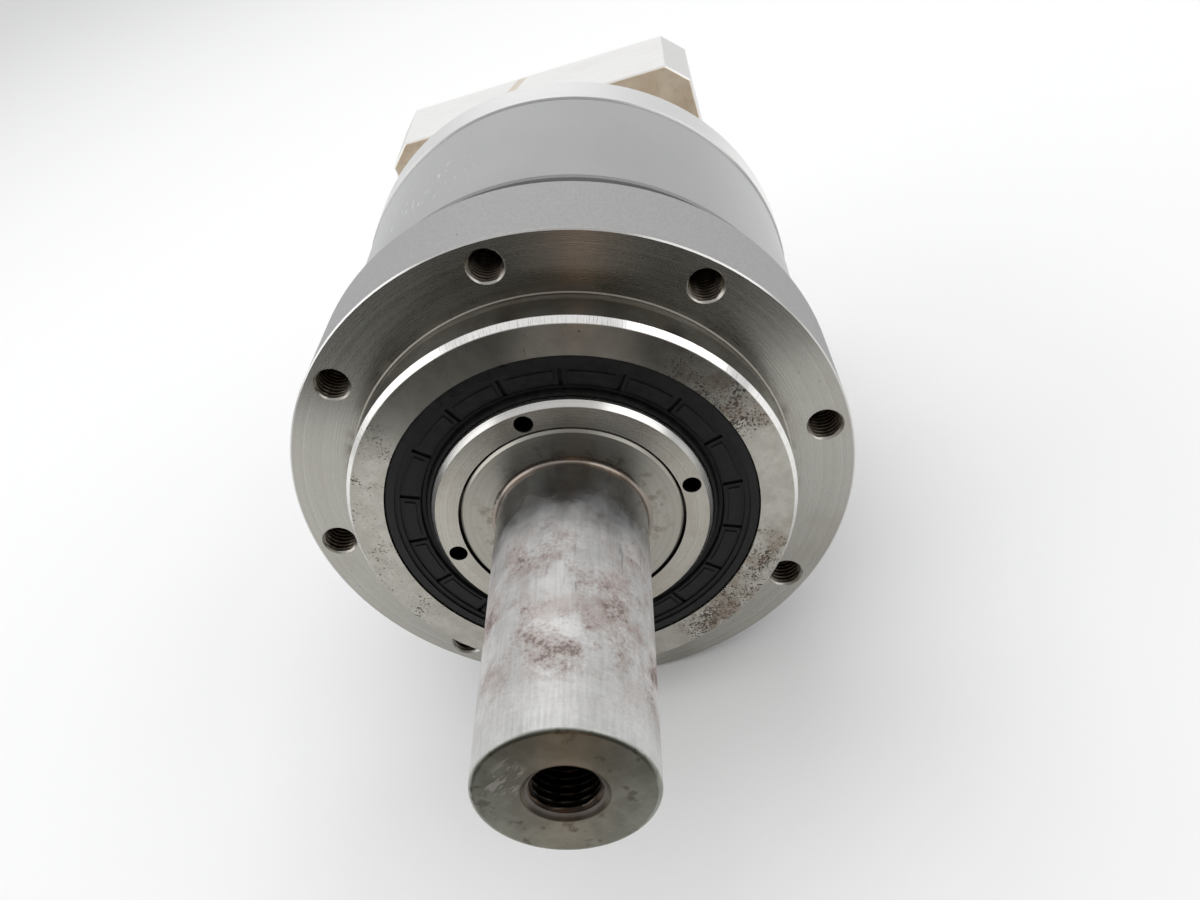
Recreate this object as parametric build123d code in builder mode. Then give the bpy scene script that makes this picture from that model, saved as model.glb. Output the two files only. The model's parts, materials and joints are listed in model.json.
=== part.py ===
"""Coaxial planetary gear reducer with a round output flange and a square motor adapter.

Millimetres. The common axis of all shafts is Y. The origin is the centre of the output flange's front face,
the output shaft points to -Y, the motor side is +Y, and +Z is up. Every outline is given as (radius, y).
"""

from build123d import *
import os
from math import acos, cos, pi, radians, sin, tan

# ---------------------------------------------------------------- output flange and centring boss
FLANGE_RADIUS = 77.0
FLANGE_REAR_RADIUS = 76.2
FLANGE_THICK = 29.3
FLANGE_EDGE = 0.4
BOSS_RADIUS = 60.0
BOSS_HEIGHT = 12.8
BOSS_LEAD_LENGTH = 1.9
BOSS_LEAD_DEPTH = 1.25
BOSS_GROOVE_WIDTH = 3.1
BOSS_GROOVE_DEPTH = 0.6
NECK_RADIUS = 67.0
OUTPUT_BOLT_COUNT = 8
OUTPUT_BOLT_CIRCLE = 70.0
OUTPUT_BOLT_HOLE = 5.0
OUTPUT_BOLT_DEPTH = 22.0

# ---------------------------------------------------------------- ring gear housing
HOUSING_FRONT = 42.7
HOUSING_REAR = 101.6
HOUSING_FRONT_RADIUS = 71.9
HOUSING_REAR_RADIUS = 71.6
HOUSING_EDGE = 0.6
SPIGOT_RADIUS = 57.0
SPIGOT_GAP = 0.02
FRONT_SPIGOT_END = 58.0
TEETH_FRONT = 66.0
TEETH_REAR = 94.0

# ---------------------------------------------------------------- input flange and motor adapter
RING_RADIUS = 72.2
RING_REAR = 116.0
REAR_SPIGOT_START = 97.5
SEAL_BOSS_RADIUS = 38.5
COUPLING_HOUSING_RADIUS = 55.0
ADAPTER_FRONT = 147.0
ADAPTER_REAR = 181.0
ADAPTER_SIDE = 111.0
ADAPTER_CORNER = 7.3
ADAPTER_EDGE = 0.6
ADAPTER_BORE = 36.0
PILOT_RADIUS = 47.5
PILOT_DEPTH = 5.5
MOTOR_BOLTS = 4
MOTOR_BOLT_ANGLE = 45.0
MOTOR_BOLT_CIRCLE = 65.0
MOTOR_BOLT_HOLE = 4.0
MOTOR_BOLT_DEPTH = 26.0

# ---------------------------------------------------------------- output shaft and spanner nut
SHAFT_RADIUS = 20.0
SHAFT_END = -101.0
SHAFT_EDGE_FILLET = 1.1
SHAFT_ROOT_FILLET = 1.4
SHOULDER_RADIUS = 29.5
SHOULDER_FACE = -15.1
SHOULDER_CHAMFER = 0.7
BEARING_SEAT_RADIUS = 30.0
END_THREAD_RADIUS = 8.0
END_THREAD_DEPTH = 38.0
END_THREAD_COUNTERSINK = 1.15
NUT_RADIUS = 37.4
NUT_FACE = -14.8
NUT_CHAMFER_LENGTH = 1.7
NUT_CHAMFER_DEPTH = 1.1
NUT_MOUTH_RADIUS = 30.2
NUT_MOUTH_DEPTH = 4.0
NUT_HOLE_CIRCLE = 33.2
NUT_HOLE_RADIUS = 2.5
NUT_HOLES = 4
NUT_HOLE_DEPTH = 8.0
NUT_HOLE_ANGLE = 4.0
SLIP = 0.03

# ---------------------------------------------------------------- output seal, 75 x 100 x 10
SEAL_RADIUS = 50.0
SEAL_FRONT = -12.4
SEAL_WIDTH = 10.0
SEAL_BACK = SEAL_FRONT + SEAL_WIDTH
SEAL_RIM = 2.6
SEAL_EDGE = 0.4
SEAL_STEP = 0.5
SEAL_GAP = 0.05
SEAL_LIP_THICK = 3.6
SEAL_SHELL = 3.0
SEAL_CHANNEL_INNER = 40.6
SEAL_CHANNEL_OUTER = 45.9
SEAL_CHANNEL_DEPTH = 0.95
SEAL_PAD_INNER = 41.7
SEAL_PAD_OUTER = 44.8
SEAL_PAD_DEPTH = 0.65
SEAL_PAD_GAP = 3.6
SEAL_SLOTS = 18
SEAL_SLOT_ANGLE = 16.5
SEAL_SLOT_WIDTH = 1.1
SEAL_SLOT_DEPTH = 1.7
# The lip's section: how far outside the lip's radius, and how deep behind the seal's face.
SEAL_LIP_SECTION = (
    (3.0, 0.5),
    (2.6, 1.6),
    (1.7, 1.8),
    (1.1, 0.4),
    (0.4, 0.4),
    (0.0, 1.0),
    (0.0, 1.4),
    (1.0, 2.4),
    (1.1, 4.8),
    (0.0, 6.0),
    (0.0, 6.4),
    (1.6, 7.8),
)
SEAL_SPRING = 0.9
SEAL_SPRING_DEPTH = 5.6

# ---------------------------------------------------------------- taper roller bearings, 60 x 95 x 23
TAPER_BORE = BEARING_SEAT_RADIUS
TAPER_OUTSIDE = 47.5
TAPER_WIDTH = 23.0
TAPER_CUP_WIDTH = 18.5
TAPER_CUP_ANGLE = 15.0
TAPER_CONE_ANGLE = 12.0
TAPER_CUP_MEAN_RADIUS = 43.3
TAPER_ROLLER_LENGTH = 15.0
TAPER_ROLLER_COUNT = 22
TAPER_RIB_RADIUS = 38.9
TAPER_SMALL_RIB_RADIUS = 33.0
TAPER_RIB = 3.6
ROLLING_GAP = 0.1
CAGE_THICK = 1.4
CAGE_GAP = 0.25
CAGE_START = 2.5
CAGE_END = 21.5
TAPER_MIDDLE = 12.0
TAPER_SMALL_RIB = 2.8
FRONT_BEARING_START = 1.0
REAR_BEARING_END = 57.0
WEB_RADIUS = 43.5

# ---------------------------------------------------------------- planetary stage
MODULE = 1.5
SUN_TEETH = 18
PLANET_TEETH = 27
RING_TEETH = 72
PLANET_COUNT = 3
FIRST_PLANET_ANGLE = 90.0
PRESSURE_ANGLE = 20.0
TOOTH_THINNING = 0.10
ADDENDUM = 0.95
DEDENDUM = 1.25
PLANET_CIRCLE = MODULE * (SUN_TEETH + PLANET_TEETH) / 2
CARRIER_RADIUS = 51.3
CARRIER_FRONT = 59.0
CARRIER_REAR = 96.0
CARRIER_PLATE = 9.0
CARRIER_REAR_PLATE = 6.0
CARRIER_SHOULDER = 37.5
CARRIER_BORE = 16.5
CARRIER_SPIGOT_RADIUS = 25.0
CARRIER_SPIGOT_END = 67.0
PLANET_POCKET = 22.8
PLANET_WIDTH = 20.0
WASHER_THICK = 0.9
WASHER_RADIUS = 14.0
PIN_RADIUS = 8.0
PIN_OIL_HOLE = 2.0
BUSH_RADIUS = 10.5
PIN_GAP = 0.05
POCKET_FRONT = CARRIER_FRONT + CARRIER_PLATE
POCKET_REAR = CARRIER_REAR - CARRIER_REAR_PLATE
PIN_FRONT = CARRIER_FRONT + 1.5
PLANET_FRONT = (POCKET_FRONT + POCKET_REAR - PLANET_WIDTH) / 2
RING_TIP_RADIUS = MODULE * (RING_TEETH / 2 - ADDENDUM)
RING_ROOT_RADIUS = MODULE * (RING_TEETH / 2 + DEDENDUM)
RING_OVERCUT = 0.5
RING_TURN = 180 / RING_TEETH

# ---------------------------------------------------------------- input shaft, bearing and seal
SUN_FRONT = 68.5
SUN_REAR = 91.0
SUN_SHANK_RADIUS = 11.0
INPUT_SEAT_RADIUS = 20.0
INPUT_BEARING_START = 102.0
INPUT_BEARING_WIDTH = 15.0
INPUT_BEARING_END = INPUT_BEARING_START + INPUT_BEARING_WIDTH
INPUT_BEARING_OUTSIDE = 34.0
INPUT_WEB_RADIUS = 29.0
INPUT_WEB_END = 119.0
INPUT_SEAL_RADIUS = 31.0
INPUT_SEAL_WIDTH = 8.0
SEAL_BOSS_END = INPUT_WEB_END + INPUT_SEAL_WIDTH
INPUT_SEAL_RIM = 1.6
INPUT_SEAL_SEAT = 22.5
BALL_RADIUS = 3.95
BALL_CIRCLE = 27.0
BALL_COUNT = 12
BALL_PLANE = INPUT_BEARING_START + INPUT_BEARING_WIDTH / 2
BALL_CAGE_HALF = 5.0
RACE_OFFSET = 2.4
CIRCLIP_THICK = 1.7
CIRCLIP_DEPTH = 1.4
CIRCLIP_WIDTH = 3.6
CIRCLIP_GAP_WIDTH = 6.0
HUB_RADIUS = 17.0
HUB_START = 131.0
HUB_END = 168.0
MOTOR_SHAFT_RADIUS = 9.5
MOTOR_SHAFT_DEPTH = 40.0
HUB_SLOT_WIDTH = 2.0
HUB_SLOT_START = 146.0
CLAMP_RADIUS = 31.0
CLAMP_START = 151.0
CLAMP_END = 165.0
CLAMP_MIDDLE = (CLAMP_START + CLAMP_END) / 2
CLAMP_SLOT_WIDTH = 2.5
CLAMP_SCREW_OFFSET = 24.0
CLAMP_SCREW_RADIUS = 2.5
CLAMP_SCREW_HEAD = 4.25
CLAMP_HEAD_HEIGHT = 5.0
CLAMP_SCREW_SEAT = -8.0
CLAMP_HEAD_END = CLAMP_SCREW_SEAT - CLAMP_HEAD_HEIGHT
CLAMP_SCREW_TIP = 12.0

# ---------------------------------------------------------------- fasteners
HOUSING_SCREW_COUNT = 8
HOUSING_SCREW_CIRCLE = 62.0
HOUSING_SCREW_ANGLE = 22.5
HOUSING_SCREW_RADIUS = 3.0
HOUSING_SCREW_HEAD = 5.0
HOUSING_SCREW_TIP = 30.0
HOUSING_THREAD_END = 28.5
SCREW_CLEARANCE = 0.3
DOWEL_RADIUS = 2.5
DOWELS = 2
DOWEL_LENGTH = 16.0
ADAPTER_SCREW_COUNT = 6
ADAPTER_SCREW_CIRCLE = 42.0
ADAPTER_SCREW_RADIUS = 2.5
ADAPTER_SCREW_HEAD = 4.25
ADAPTER_SCREW_SEAT = 164.0
ADAPTER_SCREW_TIP = 106.0
SOCKET_SHARE = 0.5
O_RING_RADIUS = 0.95
O_RING_CIRCLE = 56.0
O_RING_GROOVE = 2.2
O_RING_GROOVE_DEPTH = 2.0
FRONT_O_RING_PLACE = 47.5
REAR_O_RING_PLACE = 99.7
PLUG_RADIUS = 5.0
PLUG_LENGTH = 8.0

os.makedirs("parts", exist_ok=True)


def turned(*outline, mode=Mode.ADD):
    """Turn a closed (radius, y) outline once round the Y axis."""
    with BuildSketch(Plane.XY) as section:
        with BuildLine():
            Polyline(*outline, close=True)
        make_face()
    revolve(section.sketch, axis=Axis.Y, mode=mode)


def round_bars(count, circle_radius, first_angle, radius, y_from, y_to, mode=Mode.ADD):
    """Equal round bars along Y, spaced evenly on a circle; with Mode.SUBTRACT they are holes."""
    with BuildSketch(Plane.XZ.offset(-y_to)) as section:
        with PolarLocations(circle_radius, count, start_angle=first_angle):
            Circle(radius)
    extrude(section.sketch, amount=y_to - y_from, mode=mode)


def involute(angle):
    """The involute function of an angle in radians."""
    return tan(angle) - angle


def gear_section(teeth, tip_radius, root_radius, thinning, turn):
    """Outline of an external gear in the plane XZ, one tooth centred at the angle turn in degrees."""
    pitch_radius = MODULE * teeth / 2
    base_radius = pitch_radius * cos(radians(PRESSURE_ANGLE))
    half_tooth = (pi * MODULE / 4 - thinning) / pitch_radius + involute(radians(PRESSURE_ANGLE))

    def half_angle(radius):
        if radius <= base_radius:
            return half_tooth
        return half_tooth - involute(acos(base_radius / radius))

    def point(radius, angle):
        return (radius * cos(angle), radius * sin(angle))

    flank_radii = [root_radius, (root_radius + tip_radius) / 2, tip_radius]
    with BuildSketch(Plane.XZ) as section:
        with BuildLine():
            for tooth in range(teeth):
                centre = radians(turn) + 2 * pi * tooth / teeth
                following = centre + 2 * pi / teeth
                rising = [point(r, centre - half_angle(r)) for r in flank_radii]
                falling = [point(r, centre + half_angle(r)) for r in reversed(flank_radii)]
                ThreePointArc(*rising)
                Line(rising[-1], falling[0])
                ThreePointArc(*falling)
                Line(falling[-1], point(root_radius, following - half_angle(root_radius)))
        make_face()
    return section.sketch


def gear_bar(teeth, tip_radius, root_radius, thinning, turn, y_from, y_to, mode=Mode.ADD):
    """A toothed bar between two stations on Y."""
    outline = gear_section(teeth, tip_radius, root_radius, thinning, turn)
    extrude(outline.moved(Location((0, y_to, 0))), amount=y_to - y_from, mode=mode, dir=(0, -1, 0))


def turned_round(circle_radius, y, radius, mode=Mode.ADD):
    """A ring of round section about the Y axis."""
    with BuildSketch(Plane.XY) as section:
        with Locations((circle_radius, y)):
            Circle(radius)
    revolve(section.sketch, axis=Axis.Y, mode=mode)


def pipe(inner_radius, outer_radius, y_from, y_to):
    """Outline of a plain ring, for turned()."""
    return [(inner_radius, y_from), (outer_radius, y_from), (outer_radius, y_to), (inner_radius, y_to)]


def o_ring_groove(y):
    """Cut an O-ring's groove in a spigot."""
    floor_radius = SPIGOT_RADIUS - O_RING_GROOVE_DEPTH
    turned(
        *pipe(floor_radius, SPIGOT_RADIUS, y - O_RING_GROOVE / 2, y + O_RING_GROOVE / 2), mode=Mode.SUBTRACT
    )


def circlip_groove(inner_radius, outer_radius):
    """Outline of the groove beside the input bearing, a little wider than its circlip."""
    return pipe(inner_radius, outer_radius, INPUT_BEARING_START - CIRCLIP_THICK - SLIP, INPUT_BEARING_START)


def circlip(inner_radius, outer_radius):
    """Outline of a circlip beside the input bearing."""
    return pipe(inner_radius, outer_radius, INPUT_BEARING_START - CIRCLIP_THICK, INPUT_BEARING_START)


def circlip_gap(side):
    """Open a circlip below the axis (-1) or above it (+1)."""
    with BuildSketch(Plane.XZ.offset(-INPUT_BEARING_START)) as gap:
        with Locations((0, side * BALL_CIRCLE)):
            Rectangle(CIRCLIP_GAP_WIDTH, BALL_CIRCLE)
    extrude(gap.sketch, amount=CIRCLIP_THICK, mode=Mode.SUBTRACT)


def clamp_bar(radius, x_from, x_to, mode=Mode.ADD):
    """A round bar on the clamp screw's axis, which runs along X."""
    with BuildSketch(Plane.YZ.offset(x_from)) as section:
        with Locations((CLAMP_MIDDLE, CLAMP_SCREW_OFFSET)):
            Circle(radius)
    extrude(section.sketch, amount=x_to - x_from, mode=mode)


def seal_body(outer, lip, rim, width, face, inward):
    """Lip seal with its flat face at y = face; inward is +1 or -1, the way its lip points along Y."""
    thick = lip + SEAL_LIP_THICK
    depths = [
        (outer, SEAL_EDGE),
        (outer - SEAL_EDGE, 0),
        (outer - rim, 0),
        (outer - rim, SEAL_STEP),
        *((lip + offset, depth) for offset, depth in SEAL_LIP_SECTION),
        (thick, SEAL_LIP_SECTION[-1][1] - SEAL_EDGE),
        (thick, SEAL_SHELL),
        (outer - SEAL_SHELL - SEAL_EDGE, SEAL_SHELL),
        (outer - SEAL_SHELL, SEAL_SHELL + SEAL_EDGE),
        (outer - SEAL_SHELL, width),
        (outer, width),
    ]
    turned(*[(radius, face + inward * depth) for radius, depth in depths])
    spring_plane = face + inward * SEAL_SPRING_DEPTH
    turned_round(thick, spring_plane, SEAL_SPRING + SLIP, mode=Mode.SUBTRACT)


def radial_cuts(count, first_angle, near, far, width, y_from, y_to):
    """Cut straight slots that run outwards from the axis, between two radii and two stations."""
    with BuildSketch(Plane.XZ.offset(-y_to)) as slots:
        with PolarLocations((near + far) / 2, count, start_angle=first_angle):
            Rectangle(far - near, width)
    extrude(slots.sketch, amount=y_to - y_from, mode=Mode.SUBTRACT)


def cap_screws(count, circle_radius, first_angle, shank, tip, seat, head_radius, head_height):
    """Socket head cap screws along Y: the threaded end at y = tip, the head's underside at y = seat."""
    head_end = seat + head_height
    round_bars(count, circle_radius, first_angle, shank, tip, seat)
    round_bars(count, circle_radius, first_angle, head_radius, seat, head_end)
    with BuildSketch(Plane.XZ.offset(-head_end)) as sockets:
        with PolarLocations(circle_radius, count, start_angle=first_angle):
            RegularPolygon(head_radius * SOCKET_SHARE, 6)
    extrude(sockets.sketch, amount=head_height / 2, mode=Mode.SUBTRACT)


def finish(builder, label):
    """Name and write one finished piece."""
    builder.part.label = label
    export_step(builder.part, f"parts/{label}.step")


# ================================================================ castings and covers
with BuildPart() as output_housing:
    turned(
        (SEAL_RADIUS, -BOSS_HEIGHT),
        (BOSS_RADIUS - BOSS_LEAD_DEPTH, -BOSS_HEIGHT),
        (BOSS_RADIUS, BOSS_LEAD_LENGTH - BOSS_HEIGHT),
        (BOSS_RADIUS, -BOSS_GROOVE_WIDTH),
        (BOSS_RADIUS - BOSS_GROOVE_DEPTH, -BOSS_GROOVE_WIDTH),
        (BOSS_RADIUS - BOSS_GROOVE_DEPTH, 0),
        (FLANGE_RADIUS - FLANGE_EDGE, 0),
        (FLANGE_RADIUS, FLANGE_EDGE),
        (FLANGE_REAR_RADIUS, FLANGE_THICK - FLANGE_EDGE),
        (FLANGE_REAR_RADIUS - FLANGE_EDGE, FLANGE_THICK),
        (NECK_RADIUS, FLANGE_THICK),
        (NECK_RADIUS, HOUSING_FRONT),
        (SPIGOT_RADIUS - SPIGOT_GAP, HOUSING_FRONT),
        (SPIGOT_RADIUS - SPIGOT_GAP, FRONT_SPIGOT_END),
        (TAPER_OUTSIDE, FRONT_SPIGOT_END),
        (TAPER_OUTSIDE, REAR_BEARING_END - TAPER_WIDTH),
        (WEB_RADIUS, REAR_BEARING_END - TAPER_WIDTH),
        (WEB_RADIUS, FRONT_BEARING_START + TAPER_WIDTH),
        (TAPER_OUTSIDE, FRONT_BEARING_START + TAPER_WIDTH),
        (TAPER_OUTSIDE, FRONT_BEARING_START),
        (WEB_RADIUS, FRONT_BEARING_START),
        (WEB_RADIUS, SEAL_BACK),
        (SEAL_RADIUS, SEAL_BACK),
    )
    round_bars(
        OUTPUT_BOLT_COUNT, OUTPUT_BOLT_CIRCLE, 0, OUTPUT_BOLT_HOLE, 0, OUTPUT_BOLT_DEPTH, Mode.SUBTRACT
    )
    round_bars(
        HOUSING_SCREW_COUNT,
        HOUSING_SCREW_CIRCLE,
        HOUSING_SCREW_ANGLE,
        HOUSING_SCREW_RADIUS,
        HOUSING_THREAD_END,
        HOUSING_FRONT,
        Mode.SUBTRACT,
    )
    round_bars(
        DOWELS,
        HOUSING_SCREW_CIRCLE,
        0,
        DOWEL_RADIUS,
        HOUSING_FRONT - DOWEL_LENGTH / 2,
        HOUSING_FRONT,
        Mode.SUBTRACT,
    )
    o_ring_groove(FRONT_O_RING_PLACE)
finish(output_housing, "output_housing")

with BuildPart() as ring_gear_housing:
    turned(
        (SPIGOT_RADIUS, HOUSING_FRONT),
        (HOUSING_FRONT_RADIUS - HOUSING_EDGE, HOUSING_FRONT),
        (HOUSING_FRONT_RADIUS, HOUSING_FRONT + HOUSING_EDGE),
        (HOUSING_REAR_RADIUS, HOUSING_REAR - HOUSING_EDGE / 2),
        (HOUSING_REAR_RADIUS - HOUSING_EDGE / 2, HOUSING_REAR),
        (SPIGOT_RADIUS, HOUSING_REAR),
        (SPIGOT_RADIUS, TEETH_REAR),
        (RING_TIP_RADIUS, TEETH_REAR),
        (RING_TIP_RADIUS, TEETH_FRONT),
        (SPIGOT_RADIUS, TEETH_FRONT),
    )
    gear_bar(
        RING_TEETH,
        RING_ROOT_RADIUS,
        RING_TIP_RADIUS - RING_OVERCUT,
        -TOOTH_THINNING,
        RING_TURN,
        TEETH_FRONT - RING_OVERCUT,
        TEETH_REAR + RING_OVERCUT,
        Mode.SUBTRACT,
    )
    round_bars(
        HOUSING_SCREW_COUNT,
        HOUSING_SCREW_CIRCLE,
        HOUSING_SCREW_ANGLE,
        HOUSING_SCREW_RADIUS + SCREW_CLEARANCE,
        HOUSING_FRONT,
        HOUSING_REAR,
        Mode.SUBTRACT,
    )
    round_bars(
        DOWELS,
        HOUSING_SCREW_CIRCLE,
        0,
        DOWEL_RADIUS,
        HOUSING_FRONT,
        HOUSING_FRONT + DOWEL_LENGTH / 2,
        Mode.SUBTRACT,
    )
finish(ring_gear_housing, "ring_gear_housing")

with BuildPart() as input_flange:
    turned(
        (INPUT_BEARING_OUTSIDE, REAR_SPIGOT_START),
        (SPIGOT_RADIUS - SPIGOT_GAP, REAR_SPIGOT_START),
        (SPIGOT_RADIUS - SPIGOT_GAP, HOUSING_REAR),
        (RING_RADIUS - HOUSING_EDGE, HOUSING_REAR),
        (RING_RADIUS, HOUSING_REAR + HOUSING_EDGE),
        (RING_RADIUS, RING_REAR - HOUSING_EDGE),
        (RING_RADIUS - HOUSING_EDGE, RING_REAR),
        (SEAL_BOSS_RADIUS, RING_REAR),
        (SEAL_BOSS_RADIUS, SEAL_BOSS_END),
        (INPUT_SEAL_RADIUS, SEAL_BOSS_END),
        (INPUT_SEAL_RADIUS, INPUT_WEB_END),
        (INPUT_WEB_RADIUS, INPUT_WEB_END),
        (INPUT_WEB_RADIUS, INPUT_BEARING_END),
        (INPUT_BEARING_OUTSIDE, INPUT_BEARING_END),
    )
    turned(*circlip_groove(INPUT_BEARING_OUTSIDE, INPUT_BEARING_OUTSIDE + CIRCLIP_DEPTH), mode=Mode.SUBTRACT)
    round_bars(
        HOUSING_SCREW_COUNT,
        HOUSING_SCREW_CIRCLE,
        HOUSING_SCREW_ANGLE,
        HOUSING_SCREW_RADIUS + SCREW_CLEARANCE,
        HOUSING_REAR,
        RING_REAR,
        Mode.SUBTRACT,
    )
    round_bars(
        ADAPTER_SCREW_COUNT,
        ADAPTER_SCREW_CIRCLE,
        0,
        ADAPTER_SCREW_RADIUS,
        ADAPTER_SCREW_TIP - 1,
        RING_REAR,
        Mode.SUBTRACT,
    )
    o_ring_groove(REAR_O_RING_PLACE)
finish(input_flange, "input_flange")

with BuildPart() as coupling_housing:
    turned(
        (SEAL_BOSS_RADIUS + SLIP, RING_REAR),
        (COUPLING_HOUSING_RADIUS, RING_REAR),
        (COUPLING_HOUSING_RADIUS, ADAPTER_FRONT),
        (ADAPTER_BORE, ADAPTER_FRONT),
        (ADAPTER_BORE, SEAL_BOSS_END + SLIP),
        (SEAL_BOSS_RADIUS + SLIP, SEAL_BOSS_END + SLIP),
    )
    round_bars(
        ADAPTER_SCREW_COUNT,
        ADAPTER_SCREW_CIRCLE,
        0,
        ADAPTER_SCREW_RADIUS + SCREW_CLEARANCE,
        RING_REAR,
        ADAPTER_FRONT,
        Mode.SUBTRACT,
    )
finish(coupling_housing, "coupling_housing")

with BuildPart() as motor_adapter:
    with BuildSketch(Plane.XZ.offset(-ADAPTER_REAR)) as square:
        Rectangle(ADAPTER_SIDE, ADAPTER_SIDE)
        chamfer(square.vertices(), ADAPTER_CORNER)
    extrude(amount=ADAPTER_REAR - ADAPTER_FRONT)
    end_faces = motor_adapter.faces().filter_by(Axis.Y)
    chamfer(end_faces.edges(), ADAPTER_EDGE)
    turned(*pipe(0, ADAPTER_BORE, ADAPTER_FRONT, ADAPTER_REAR), mode=Mode.SUBTRACT)
    turned(*pipe(0, PILOT_RADIUS, ADAPTER_REAR - PILOT_DEPTH, ADAPTER_REAR), mode=Mode.SUBTRACT)
    round_bars(
        MOTOR_BOLTS,
        MOTOR_BOLT_CIRCLE,
        MOTOR_BOLT_ANGLE,
        MOTOR_BOLT_HOLE,
        ADAPTER_REAR - MOTOR_BOLT_DEPTH,
        ADAPTER_REAR,
        Mode.SUBTRACT,
    )
    round_bars(
        ADAPTER_SCREW_COUNT,
        ADAPTER_SCREW_CIRCLE,
        0,
        ADAPTER_SCREW_RADIUS + SCREW_CLEARANCE,
        ADAPTER_FRONT,
        ADAPTER_SCREW_SEAT,
        Mode.SUBTRACT,
    )
    round_bars(
        ADAPTER_SCREW_COUNT,
        ADAPTER_SCREW_CIRCLE,
        0,
        ADAPTER_SCREW_HEAD + SCREW_CLEARANCE,
        ADAPTER_SCREW_SEAT,
        ADAPTER_REAR - PILOT_DEPTH,
        Mode.SUBTRACT,
    )
    with BuildSketch(Plane.YZ.offset(-ADAPTER_SIDE / 2)):
        with Locations((CLAMP_MIDDLE, CLAMP_SCREW_OFFSET)):
            Circle(PLUG_RADIUS)
    extrude(amount=ADAPTER_SIDE / 2 - CLAMP_SCREW_OFFSET, mode=Mode.SUBTRACT)
finish(motor_adapter, "motor_adapter")

# ================================================================ output side
with BuildPart() as output_shaft:
    turned(
        (0, SHAFT_END),
        (SHAFT_RADIUS, SHAFT_END),
        (SHAFT_RADIUS, SHOULDER_FACE),
        (SHOULDER_RADIUS - SHOULDER_CHAMFER, SHOULDER_FACE),
        (SHOULDER_RADIUS, SHOULDER_FACE + SHOULDER_CHAMFER),
        (SHOULDER_RADIUS, FRONT_BEARING_START),
        (BEARING_SEAT_RADIUS, FRONT_BEARING_START),
        (BEARING_SEAT_RADIUS, REAR_BEARING_END),
        (CARRIER_SHOULDER, REAR_BEARING_END),
        (CARRIER_SHOULDER, CARRIER_FRONT),
        (CARRIER_SPIGOT_RADIUS, CARRIER_FRONT),
        (CARRIER_SPIGOT_RADIUS, CARRIER_SPIGOT_END),
        (0, CARRIER_SPIGOT_END),
    )
    round_edges = output_shaft.edges().filter_by(GeomType.CIRCLE)
    root_edges = round_edges.filter_by_position(Axis.Y, SHOULDER_FACE, SHOULDER_FACE)
    end_edges = round_edges.filter_by_position(Axis.Y, SHAFT_END, SHAFT_END)
    fillet(end_edges, SHAFT_EDGE_FILLET)
    fillet(root_edges.sort_by(SortBy.RADIUS)[0], SHAFT_ROOT_FILLET)
    turned(
        (0, SHAFT_END),
        (END_THREAD_RADIUS + END_THREAD_COUNTERSINK, SHAFT_END),
        (END_THREAD_RADIUS, SHAFT_END + END_THREAD_COUNTERSINK),
        (END_THREAD_RADIUS, SHAFT_END + END_THREAD_DEPTH),
        (0, SHAFT_END + END_THREAD_DEPTH + END_THREAD_RADIUS / 2),
        mode=Mode.SUBTRACT,
    )
finish(output_shaft, "output_shaft")

with BuildPart() as planet_carrier:
    turned(
        (CARRIER_SPIGOT_RADIUS + SLIP, CARRIER_FRONT),
        (CARRIER_RADIUS, CARRIER_FRONT),
        (CARRIER_RADIUS, CARRIER_REAR),
        (CARRIER_BORE, CARRIER_REAR),
        (CARRIER_BORE, POCKET_FRONT),
        (CARRIER_SPIGOT_RADIUS + SLIP, POCKET_FRONT),
    )
    round_bars(
        PLANET_COUNT,
        PLANET_CIRCLE,
        FIRST_PLANET_ANGLE,
        PLANET_POCKET,
        POCKET_FRONT,
        POCKET_REAR,
        Mode.SUBTRACT,
    )
    round_bars(
        PLANET_COUNT, PLANET_CIRCLE, FIRST_PLANET_ANGLE, PIN_RADIUS, PIN_FRONT, CARRIER_REAR, Mode.SUBTRACT
    )
finish(planet_carrier, "planet_carrier")

with BuildPart() as spanner_nut:
    turned(
        (NUT_MOUTH_RADIUS, NUT_FACE),
        (NUT_RADIUS - NUT_CHAMFER_DEPTH, NUT_FACE),
        (NUT_RADIUS, NUT_FACE + NUT_CHAMFER_LENGTH),
        (NUT_RADIUS, FRONT_BEARING_START),
        (SHOULDER_RADIUS + SLIP, FRONT_BEARING_START),
        (SHOULDER_RADIUS + SLIP, NUT_FACE + NUT_MOUTH_DEPTH),
        (NUT_MOUTH_RADIUS, NUT_FACE + NUT_MOUTH_DEPTH),
    )
    round_bars(
        NUT_HOLES,
        NUT_HOLE_CIRCLE,
        NUT_HOLE_ANGLE,
        NUT_HOLE_RADIUS,
        NUT_FACE,
        NUT_FACE + NUT_HOLE_DEPTH,
        Mode.SUBTRACT,
    )
finish(spanner_nut, "spanner_nut")

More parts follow.
